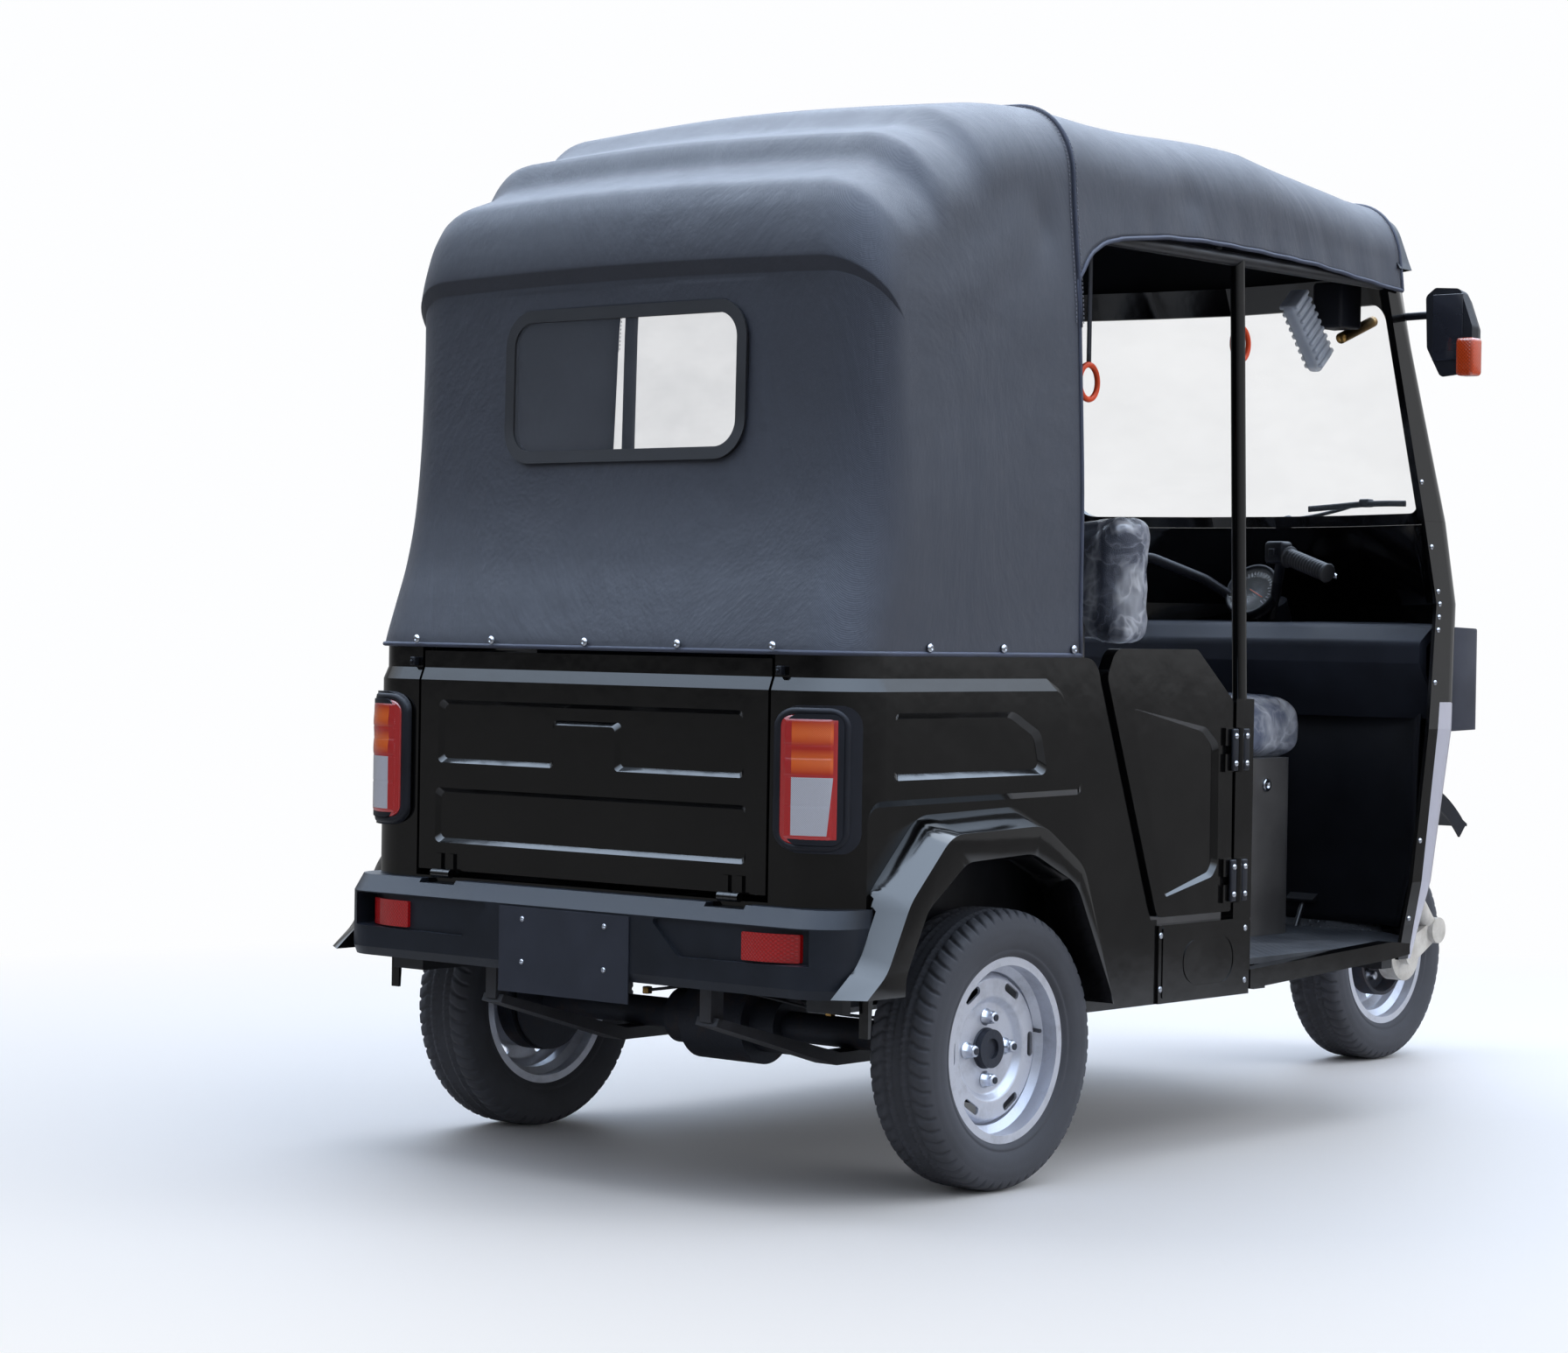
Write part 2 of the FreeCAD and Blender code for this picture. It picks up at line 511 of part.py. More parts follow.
def roof_stringers():
    """Two bars that tie the rear bow to the first hoop."""
    x, top = HOOPS[0][:2]
    z = top - 16 * 300 / (BODY_HALF - 112)
    r = HOOP_R + SEAT_GAP
    bar = pipe([(BOW_X, -300, BOW_Z), (-160, -300, 1806, 120), (60, -300, 1880, 200), (x, -300, z)], 7.0)
    bar = less(bar, rod(V(BOW_X, -400, BOW_Z), V(BOW_X, -200, BOW_Z), r), rod(V(x, -360, z - 2), V(x, -240, z + 2), r))
    return Part.makeCompound([bar, mirrored(bar)])


def belt_rail():
    """Strip inside the belt that the posts and the rear bow are bolted to."""
    ring = less(slab_z(body_plan(-WALL - SEAT_GAP, SIDE_MOUTH_X + 40), BELT_Z - 44, BELT_Z - 8),
                slab_z(body_plan(-WALL - 14, SIDE_MOUTH_X + 80), BELT_Z - 50, BELT_Z))
    gate = box(-500, -300, -GATE_MOUTH_HALF - 2, GATE_MOUTH_HALF + 2, 800, BELT_Z - 1)
    return less(ring, gate)


# ------------------------------------------------------------ cab front
COWL_TABLE = (
    # z, rear edge x, corner x at y 500, nose x, half width
    (316.0, 1405.0, 1534.0, 1720.0, 560.0),
    (387.0, 1416.0, 1558.0, 1770.0, 566.0),
    (475.0, 1430.0, 1588.0, 1850.0, 575.0),
    (790.0, 1477.0, 1654.0, 1980.0, 580.0),
    (1050.0, 1513.0, 1674.0, 1925.0, 572.0),
    (1220.0, 1472.0, 1638.0, 1806.0, 564.0),
)
SCREEN_TABLE = (COWL_TABLE[-1], (1735.0, 1345.0, 1462.0, 1584.0, 533.0))


def cowl_wire(row, inset):
    z, xr, xc, xn, h = row
    k = inset
    back = xr - 5 if k > 0 else xr
    pts = [(back, -h + k), (xc - 75, -h + k, 60), (xc - k, -500 + 0.5 * k, 60), (xc + 52 - k, -430 + 0.3 * k, 150),
           (xn - 24 - k, -190, 300), (xn - k, 0), (back, 0)]
    return flat(pts, lambda a, b: V(a, b, z))


def cowl_volume(table, inset):
    """Right half of the cab front, grown outwards when inset is below zero."""
    rows = list(table)
    if inset:
        first, last = rows[0], rows[-1]
        rows[0] = (first[0] - 1.0,) + first[1:]
        rows[-1] = (last[0] + 1.0,) + last[1:]
    return loft([cowl_wire(r, inset) for r in rows])


COWL_WALL, FRAME_WALL, COWL_FIT = 8.0, 16.0, 0.7


def stem_slot():
    """Mouth in the nose for the stem and the back of the mudguard."""
    return slab_y([(1780, 470), (1780, 760), (2200, 760), (2200, 470)], -130, 130)


def front_cowl():
    return both(less(cowl_volume(COWL_TABLE, 0), cowl_volume(COWL_TABLE, COWL_WALL), stem_slot()))


def screen_prism(grow, x0=1440.0, x1=2000.0):
    h0, h1, z0, z1, r = 452 + grow, 432 + grow, SCREEN_LOW + 24 - grow, SCREEN_HIGH - 22 + grow, 40 + grow
    return slab_x([(-h0, z0, r), (h0, z0, r), (h1, z1, r), (-h1, z1, r)], x0, x1)


def screen_frame():
    shell = less(cowl_volume(SCREEN_TABLE, 0), cowl_volume(SCREEN_TABLE, FRAME_WALL))
    return both(less(shell, screen_prism(0), box(1000, 2200, -700, 700, 1200, SCREEN_LOW + SEAT_GAP)))


def windscreen():
    shell = less(cowl_volume(SCREEN_TABLE, 4), cowl_volume(SCREEN_TABLE, 9))
    return both(shell.common(screen_prism(-SEAT_GAP)))


def roof_visor():
    """Moulded cap that closes the canopy over the windscreen."""
    low = SCREEN_TABLE[1][0] + SEAT_GAP
    first = ROOF_STATIONS[-1]
    rows = ((first[0] + SEAT_GAP, first[1], first[2]), (1500.0, 1866.0, 24.0), (1600.0, 1830.0, 50.0))
    outer = loft([roof_wire(x, t, tuck, 0, low) for x, t, tuck in rows])
    inner = loft([roof_wire(x - 5, t, tuck, 5, low - 2) for x, t, tuck in rows])

    def plan(k):
        right = [(1370, -700), (1412 - k, -590, 60), (1484 - k, -470, 100), (1592 - k, -200, 300)]
        return slab_z(right + [(p[0], -p[1]) + tuple(p[2:]) for p in right[::-1]], low - 5, 2000)

    return less(outer.common(plan(0)), inner.common(plan(5)))


def dashboard():
    """Shelf with a rolled edge, a tray on each side and the opening for the column."""
    shape = slab_y([(1500, 925, 6), (1500, 968, 20), (1560, 1006, 60), (1840, 1012), (1840, 992),
                    (1575, 990, 60), (1530, 960, 10), (1530, 900, 30), (1600, 820), (1590, 806, 4)], -540, 540)
    inner = cowl_volume(COWL_TABLE, COWL_WALL + COWL_FIT)
    column = rod(axis_point(900), axis_point(1300), 92)
    tray = slab_z([(1582, -440, 18), (1640, -440, 18), (1640, -300, 18), (1582, -300, 18)], 996, 1030)
    return both(less(shape.common(inner), column, tray))


def head_tube():
    outer = rod(axis_point(HEAD_LOW), axis_point(HEAD_HIGH), HEAD_R)
    return outer, rod(axis_point(HEAD_LOW - 50), axis_point(HEAD_HIGH + 50), STEM_R + STEM_FIT)


def headlamp():
    """Moulded pod on the corner of the cowl with its lamp facing ahead."""
    plan = slab_z([(1560, -552, 8), (1722, -552, 34), (1776, -503, 30), (1802, -410, 20), (1720, -360, 20),
                   (1560, -400)], 780, 1010)
    side = slab_y([(1560, 1004), (1716, 1000, 30), (1802, 962, 30), (1798, 850, 50), (1738, 786, 24), (1560, 782)],
                  -600, -340)
    return less(plan.common(side), cowl_volume(COWL_TABLE, -COWL_FIT))


# ------------------------------------------------------------ chassis
def chassis_frame():
    """Front ladder of two rails and three cross members."""
    parts = []
    for s in (-1, 1):
        y = s * RAIL_HALF
        parts.append(box(KICK_X, 1500, y - FRAME_W / 2, y + FRAME_W / 2, FRAME_LOW, FRAME_LOW + FRAME_H))
    for x, half in ((500, 550), (880, 550), (1440, 500)):
        parts.append(box(x, x + 40, -half, half, FRAME_LOW + 14, FRAME_LOW + FRAME_H))
    return join(*parts)


def rear_frame():
    """Kicked-up rails over the rear axle."""
    parts = []
    for s in (-1, 1):
        y = s * RAIL_HALF
        pts = [(-400, KICK_LOW), (110, KICK_LOW), (205, FRAME_LOW), (KICK_X - 0.3, FRAME_LOW),
               (KICK_X - 0.3, FRAME_LOW + FRAME_H), (245, FRAME_LOW + FRAME_H), (150, KICK_LOW + FRAME_H),
               (-400, KICK_LOW + FRAME_H)]
        parts.append(slab_y(pts, y - FRAME_W / 2, y + FRAME_W / 2))
    for x in (-360, 70):
        parts.append(box(x, x + 40, -RAIL_HALF, RAIL_HALF, KICK_LOW + 10, KICK_LOW + 50))
    return join(*parts)


def steering_neck():
    """Neck from the front cross member up to the head tube."""
    neck = slab_y([(1480.3, FRAME_LOW + 14), (1600, FRAME_LOW + 10, 60), (1890, 780), (1862, 850), (1810, 850),
                   (1560, FRAME_LOW + 90, 60), (1500, FRAME_LOW + FRAME_H), (1480.3, FRAME_LOW + FRAME_H)], -28, 28)
    tube, bore = head_tube()
    neck = less(neck, rod(axis_point(HEAD_LOW - 140), axis_point(HEAD_LOW), HEAD_R + 6))
    return less(join(neck, tube), bore)


def floor_pan():
    inner = cowl_volume(COWL_TABLE, COWL_WALL + COWL_FIT)
    z0, z1 = FLOOR_Z - FLOOR_T, FLOOR_Z
    mid = join(box(302, 1404, -555, 555, z0, z1), box(276, 302, -TUB_IN + 1, TUB_IN - 1, z0, z1))
    mid = less(mid, box(ENGINE_X0 - 4, ENGINE_X1 + 4, -ENGINE_HALF - 4, ENGINE_HALF + 4, 300, 400))
    nose = box(1404, 1900, -600, 600, z0, z1).common(inner)
    toe = slab_y([(1600, z1 - 2), (1740, 520), (1752, 514), (1640, z0 + 2)], -420, 420).common(inner)
    neck = box(1480, 1950, -29, 29, 300, 900)
    return less(join(mid, both(nose), both(toe)), neck)


def sill():
    return slab_y([(806, 299), (1330, 324), (1400, 330), (1400, 352), (1330, 359), (806, 336)],
                  -BODY_HALF, -556)


def b_post():
    """Hinge post with its tube up to the roof rail and the access cover below the door."""
    post = slab_y([(DOOR_FRONT_X + 12, 436), (806, 436), (806, 856), (DOOR_FRONT_X + 12, 856)], -588, -560)
    step = slab_y([(500.5, BODY_BOTTOM_Z), (806, BODY_BOTTOM_Z), (806, 436), (500.5, 436)], -586, -562)
    cover = slab_y([(512, 300, 4), (806, 300, 4), (806, 432, 4), (512, 432, 4)], -588, -585)
    groove = [(577, 318, 42), (748, 318, 42), (748, 407, 42), (577, 407, 42)]
    groove = less(slab_y(groove, -590, -586.5), slab_y(shrunk(groove, 3.5), -600, -580))
    tube = rod(V(POST_FOOT_X, -572, 850), V(POST_TOP_X, -RAIL_Y + 6, RAIL_LOW_Z), 14)
    tube = less(tube, rod(V(600, -RAIL_Y + 6, RAIL_LOW_Z), V(1000, -RAIL_Y + 6, RAIL_LOW_Z), RAIL_R + 1.2))
    parts, bores = [post, step, cover, tube], []
    for z in DOOR_HINGES:
        z0, z1 = z - KNUCKLE_LONG / 2, z + KNUCKLE_LONG / 2
        parts.append(rod(V(DOOR_PIN_X, -DOOR_PIN_Y, z0), V(DOOR_PIN_X, -DOOR_PIN_Y, z1), KNUCKLE_R))
        parts.append(box(DOOR_PIN_X, 790, -BODY_HALF - 4, -587, z0, z1))
        parts.append(box(DOOR_PIN_X + 14, 790, -BODY_HALF - 4, -587, z - 42, z + 42))
        bores.append(rod(V(DOOR_PIN_X, -DOOR_PIN_Y, z - 60), V(DOOR_PIN_X, -DOOR_PIN_Y, z + 60), PIN_R + PIN_FIT))
    return less(join(*parts), groove, *bores)


def door():
    """Door with the pressed field that dies out towards its rear edge."""
    slope = (SEAM_FOOT[0] - 294) / (BELT_Z - 4 - SEAM_FOOT[1])
    foot_x = SEAM_FOOT[0] + SEAM + 2
    head_x = foot_x - slope * (900 - DOOR_LOW) + 1
    pts = [(head_x, 900, 30), (342, DOOR_HIGH, 34), (607, DOOR_HIGH, 20), (DOOR_FRONT_X - 3, 854, 15),
           (DOOR_FRONT_X, DOOR_LOW, 6), (foot_x, DOOR_LOW, 22)]
    panel = slab_y(pts, -BODY_HALF, -BODY_HALF + WALL)
    field = [(395, 842, 10), (640, 804, 26), (684, 772, 26), (686, 542, 26), (668, 520, 20), (512, 488, 8)]
    wedge = slab_z([(380, -BODY_HALF - 1), (700, -BODY_HALF - 1), (700, -BODY_HALF + 9), (690, -BODY_HALF + 9),
                    (380, -BODY_HALF - 0.5)], 460, 880)
    panel = less(panel, pressed_y(field, -BODY_HALF - 0.5, -BODY_HALF + 9, 11).common(wedge))
    parts = [panel]
    inner = KNUCKLE_LONG / 2 + 0.5
    for z in DOOR_HINGES:
        parts.append(rod(V(DOOR_PIN_X, -DOOR_PIN_Y, z - 42), V(DOOR_PIN_X, -DOOR_PIN_Y, z + 42), PIN_R))
        for z0, z1 in ((z - 42, z - inner), (z + inner, z + 42)):
            parts.append(rod(V(DOOR_PIN_X, -DOOR_PIN_Y, z0), V(DOOR_PIN_X, -DOOR_PIN_Y, z1), KNUCKLE_R))
            parts.append(box(DOOR_PIN_X - 44, DOOR_PIN_X, -BODY_HALF - 6, -BODY_HALF, z0, z1))
    return join(*parts)


def bench_box():
    outer = box(BENCH_BACK_X, BENCH_FRONT_X, -TUB_IN + SEAT_GAP, TUB_IN - SEAT_GAP, FLOOR_Z + SEAT_GAP, BENCH_Z)
    inner = box(BENCH_BACK_X + 12, BENCH_FRONT_X - 12, -TUB_IN + 12, TUB_IN - 12, 200, BENCH_Z - 12)
    rails = [box(-600, 600, s * RAIL_HALF - FRAME_W / 2 - 1, s * RAIL_HALF + FRAME_W / 2 + 1, 200, 440) for s in (-1, 1)]
    return less(outer, inner, *rails)


def cushion(x0, x1, half, z0, z1, r):
    block = box(x0, x1, -half, half, z0, z1)
    return block.makeFillet(r, block.Edges)


def driver_base():
    plan = [(DRIVER_X0, -DRIVER_HALF, 12), (DRIVER_X1, -DRIVER_HALF, 45), (DRIVER_X1, DRIVER_HALF, 45),
            (DRIVER_X0, DRIVER_HALF, 12)]
    outer = slab_z(plan, FLOOR_Z + SEAT_GAP, DRIVER_Z)
    inner = slab_z(shrunk(plan, 8), 300, DRIVER_Z - 8)
    parts = [less(outer, inner)]
    for y in (-190, 160):
        parts.append(box(780, 799.7, y, y + 30, 600, 1010))
        parts.append(box(780, DRIVER_X0 + 4, y, y + 30, 600, 612))
    return join(*parts)


def engine_block():
    """Engine and gearbox as one block on two bearers, with the propeller shaft."""
    block = box(ENGINE_X0, ENGINE_X1, -ENGINE_HALF, ENGINE_HALF, ENGINE_LOW, 640)
    reach = RAIL_HALF - FRAME_W / 2 - SEAT_GAP
    bearers = [box(x, x + 36, -reach, reach, FRAME_LOW + 12, FRAME_LOW + 48) for x in (1050, 1250)]
    shaft = rod(V(75 + SEAT_GAP, DIFF_Y, TYRE_R + 4), V(ENGINE_X0 + 5, DIFF_Y, 268), 19)
    return join(block, *bearers, shaft)


def rear_axle():
    wall = REAR_TRACK / 2 - 62
    tube = rod(V(0, -wall, TYRE_R), V(0, wall, TYRE_R), AXLE_R)
    parts = [tube]
    for half, r in ((76, DIFF_R), (135, 52)):
        parts.append(rod(V(0, DIFF_Y - half, TYRE_R), V(0, DIFF_Y + half, TYRE_R), r))
    for s in (-1, 1):
        end = REAR_TRACK / 2
        parts.append(rod(V(0, s * (end - 66), TYRE_R), V(0, s * (end - 61), TYRE_R), DRUM_R - 2))
        parts.append(rod(V(0, s * (end - 64), TYRE_R), V(0, s * (end + 18), TYRE_R), STUB_R))
    return join(*parts)


def leaf_springs():
    parts = []
    for s in (-1, 1):
        y0, y1 = s * RAIL_HALF - 25, s * RAIL_HALF + 25
        under = TYRE_R - AXLE_R - SEAT_GAP
        pts = [(-396, 290), (-390, 304), (-60, under), (60, under), (426, 276), (432, 262),
               (70, under - 22), (-70, under - 22)]
        parts.append(slab_y(pts, y0, y1))
        parts.append(slab_y([(-398, 296), (-366, 296), (-366, KICK_LOW - SEAT_GAP), (-398, KICK_LOW - SEAT_GAP)],
                            y0 + 12, y1 - 12))
        parts.append(slab_y([(410, 262), (440, 262), (440, FRAME_LOW - SEAT_GAP), (428, FRAME_LOW - SEAT_GAP)],
                            y0 + 12, y1 - 12))
    return join(*parts[:3]), join(*parts[3:])


# ------------------------------------------------------------ wheels
def tyre(centre):
    w, e = TYRE_W / 2, SHOULDER_HALF
    out = [(BEAD_R, -BEAD_HALF), (172.5, -BEAD_HALF), (176, -57, 6), (194, -w, 14), (214, -w, 14),
           (SHOULDER_R, -e, 14), (TYRE_R, -TREAD_HALF + 14, 60), (TYRE_R, TREAD_HALF - 14, 60),
           (SHOULDER_R, e, 14), (214, w, 14), (194, w, 14), (176, 57, 6), (172.5, BEAD_HALF),
           (BEAD_R, BEAD_HALF), (BEAD_R, 38), (172, 40), (200, 57, 20), (228, 50, 12), (237, 28, 20),
           (237, -28, 20), (228, -50, 12), (200, -57, 20), (172, -40), (BEAD_R, -38)]
    return turned(out, centre)


def rim(centre, side):
    """Deep dished steel wheel; side is +1 when its dish faces left."""
    s, w = side, RIM_SEAT_R
    barrel = [(RIM_R, -RIM_HALF), (RIM_R, -BEAD_HALF - SEAT_GAP), (w, -BEAD_HALF - SEAT_GAP), (w, -30),
              (w - 14, -20), (w - 14, 12), (w, 22), (w, BEAD_HALF + SEAT_GAP), (RIM_R, BEAD_HALF + SEAT_GAP),
              (RIM_R, RIM_HALF), (w - RIM_WALL, RIM_HALF), (w - RIM_WALL, 24), (w - 14 - RIM_WALL, 14),
              (w - 14 - RIM_WALL, -22), (w - RIM_WALL, -32), (w - RIM_WALL, -RIM_HALF)]
    disc = [(DISC_BORE_R, DISC_OUT - 5), (DISC_BORE_R, DISC_OUT), (80, DISC_OUT, 6), (92, DISC_OUT + 14, 8),
            (124, DISC_OUT + 14, 6), (136, 2), (136, -3), (122, DISC_OUT + 9, 6), (94, DISC_OUT + 9, 6),
            (84, DISC_OUT - 5, 6)]
    wheel = join(turned([(r, s * a) for r, a in barrel] if s > 0 else [(r, -a) for r, a in barrel], V(0, 0, 0)),
                 turned([(p[0], s * p[1]) + tuple(p[2:]) for p in disc], V(0, 0, 0)))
    tools = []
    for i in range(SLOT_COUNT):
        half = SLOT_LONG / 2 - SLOT_WIDE / 2
        cut = slab_y([(-SLOT_LONG / 2, SLOT_R - SLOT_WIDE / 2, 7), (SLOT_LONG / 2, SLOT_R - SLOT_WIDE / 2, 7),
                      (SLOT_LONG / 2, SLOT_R + SLOT_WIDE / 2, 7), (-SLOT_LONG / 2, SLOT_R + SLOT_WIDE / 2, 7)],
                     s * 4, s * 40)
        cut.rotate(V(0, 0, 0), Y, (i + 0.5) * 360.0 / SLOT_COUNT)
        tools.append(cut)
    for i in range(STUD_COUNT):
        a = i * 2 * pi / STUD_COUNT
        p = V(STUD_PCD_R * cos(a), 0, STUD_PCD_R * sin(a))
        tools.append(rod(p - Y * 60, p + Y * 60, STUD_R + 0.3))
    return less(wheel, *tools).translated(centre)


def hub(centre, side):
    """Brake drum with its studs; it turns with the wheel."""
    s = side
    face = DISC_OUT - 5 - SEAT_GAP
    drum = [(STUB_R + STUB_FIT, face - DRUM_LONG), (STUB_R + STUB_FIT, DISC_OUT + 16), (DISC_BORE_R - 1, DISC_OUT + 16),
            (DISC_BORE_R - 1, face), (74, face), (DRUM_R, face - 14), (DRUM_R, face - DRUM_LONG),
            (DRUM_R - 8, face - DRUM_LONG), (DRUM_R - 8, face - 16), (40, face - 12), (40, face - DRUM_LONG)]
    body = turned([(r, s * a) for r, a in drum], V(0, 0, 0))
    studs = []
    for i in range(STUD_COUNT):
        a = i * 2 * pi / STUD_COUNT
        p = V(STUD_PCD_R * cos(a), 0, STUD_PCD_R * sin(a))
        studs.append(rod(p + Y * (s * (face - 6)), p + Y * (s * (DISC_OUT + 24)), STUD_R))
        studs.append(rod(p + Y * (s * (DISC_OUT + SEAT_GAP)), p + Y * (s * (DISC_OUT + 12)), 9.5))
    return join(body, *studs).translated(centre)


# ------------------------------------------------------------ steering
def front_fork():
    """Stem, crown, side leg and the link that carries the front stub axle."""
    centre_z = TYRE_R
    stem = rod(axis_point(STEM_LOW), axis_point(STEM_HIGH), STEM_R)
    crown = rod(axis_point(STEM_LOW), axis_point(STEM_LOW + 44), 42)
    collar = rod(axis_point(HEAD_LOW - 20), axis_point(HEAD_LOW - SEAT_GAP), HEAD_R)
    c = axis_point(STEM_LOW + 22)
    leg = pipe([(c.x, -20, c.z), (c.x + 8, LEG_Y, c.z - 20, 34), (2130, LEG_Y, 470, 80), (PIVOT_X, LEG_Y, PIVOT_Z)],
               LEG_R, 34)
    boss = rod(V(PIVOT_X, LEG_Y - 24, PIVOT_Z), V(PIVOT_X, LEG_Y + 24, PIVOT_Z), 30)
    arm = slab_y([(PIVOT_X, PIVOT_Z - 26, 10), (PIVOT_X, PIVOT_Z + 26, 10), (WHEELBASE - 30, centre_z + 34, 20),
                  (WHEELBASE - 34, centre_z - 34, 20)], LEG_Y - 12, LEG_Y + 12)
    stub = rod(V(WHEELBASE, LEG_Y, centre_z), V(WHEELBASE, 22, centre_z), STUB_R)
    plate = rod(V(WHEELBASE, LEG_Y + 10, centre_z), V(WHEELBASE, -67, centre_z), 60)
    return join(stem, crown, collar, leg, boss, arm, stub, plate)


def mudguard():
    """High arched guard over the front wheel, clamped round the stem."""
    out_r = GUARD_IN_R + GUARD_WALL
    mid = V(WHEELBASE, 0, TYRE_R)
    y = V(0, GUARD_HALF, 0)
    shell = less(rod(mid - y, mid + y, out_r),
                 rod(mid - y * (1 - GUARD_WALL / GUARD_HALF), mid + y * (1 - GUARD_WALL / GUARD_HALF), GUARD_IN_R),
                 rod(mid - y * 1.1, mid + y * 1.1, GUARD_IN_R - 34))
    far = 2 * out_r
    a, b = radians(GUARD_FRONT), radians(GUARD_REAR)
    keep = slab_y([(mid.x, mid.z), (mid.x + far * cos(a), mid.z + far * sin(a)),
                   (mid.x, mid.z + 2 * far), (mid.x + far * cos(b), mid.z + far * sin(b))], -200, 200)
    lip_x = WHEELBASE + out_r * cos(a)
    lip_z = TYRE_R + out_r * sin(a)
    lip = slab_y([(lip_x - 12, lip_z + 12), (WHEELBASE + FRONT_OVERHANG, lip_z + 3),
                  (WHEELBASE + FRONT_OVERHANG, lip_z - 3), (lip_x - 9, lip_z + 4)], -GUARD_HALF, GUARD_HALF)
    stem = rod(axis_point(STEM_LOW), axis_point(STEM_HIGH), STEM_R + SEAT_GAP)
    collar = rod(axis_point(STEM_LOW + 50), axis_point(STEM_LOW + 110), STEM_R + 9)
    return less(join(shell.common(keep), lip, collar), stem)


def handlebar():
    """Clamp, swept-back bar and grips above the dash."""
    clamp = less(rod(axis_point(STEM_HIGH - 60), axis_point(STEM_HIGH), 38),
                 rod(axis_point(STEM_HIGH - 100), axis_point(STEM_HIGH + 50), STEM_R + SEAT_GAP))
    m = axis_point(STEM_HIGH - 24)
    parts = [clamp]
    for s in (-1, 1):
        grip_in, grip_out = V(GRIP_IN[0], s * GRIP_IN[1], GRIP_IN[2]), V(GRIP_OUT[0], s * GRIP_OUT[1], GRIP_OUT[2])
        parts.append(pipe([(m.x - 26, s * 14, m.z - 6), (1650, s * 96, 1102, 50), (1550, s * 168, 1146, 50),
                           tuple(grip_in) + (36,), tuple(grip_out)], BAR_R, 40))
        d = (grip_out - grip_in).normalize()
        parts.append(rod(grip_in + d * 18, grip_out, GRIP_R))
    stem = rod(axis_point(STEM_HIGH - 120), axis_point(STEM_HIGH + 50), STEM_R + SEAT_GAP)
    return less(join(*parts), stem)


def mirror():
    """Arm and a housing with cut corners whose glass faces the rear."""
    arm = pipe([(1440, -515, 1640), (1420, -640, 1640), (1330, -690, 1610)], 8, 20)
    front = [(-770, 1510, 12), (-700, 1500, 14), (-668, 1560, 20), (-664, 1664, 14), (-686, 1680, 10), (-742, 1676, 14),
             (-770, 1600, 20)]
    head = loft([flat(front, lambda a, b: V(1290, a, b)), flat(shrunk(front, 4), lambda a, b: V(1322, a, b)),
                 flat(shrunk(front, 16), lambda a, b: V(1352, a, b))])
    arm = less(arm, cowl_volume(SCREEN_TABLE, -SEAT_GAP))
    return join(arm, head)


def brake_pedal():
    pad = slab_y([(1600, 402, 3), (1640, 430, 3), (1634, 437, 3), (1594, 410, 3)], -235, -165)
    arm = rod(V(1616, -200, 414), V(1576, -200, FLOOR_Z - 10), 6)
    return less(join(pad, arm), box(1500, 1700, -300, -100, 300, FLOOR_Z + SEAT_GAP))


# ------------------------------------------------------------ nodes
NODES = {}


def add(name, shape):
    NODES[name] = shape.translated(V(SHIFT_X, 0, 0))


def add_sides(name, right):
    add(name + "_right", right)
    add(name + "_left", mirrored(right))


def add_pair(name, right):
    """Two mirrored solids that belong together in one node."""
    add(name, Part.makeCompound([right, mirrored(right)]))


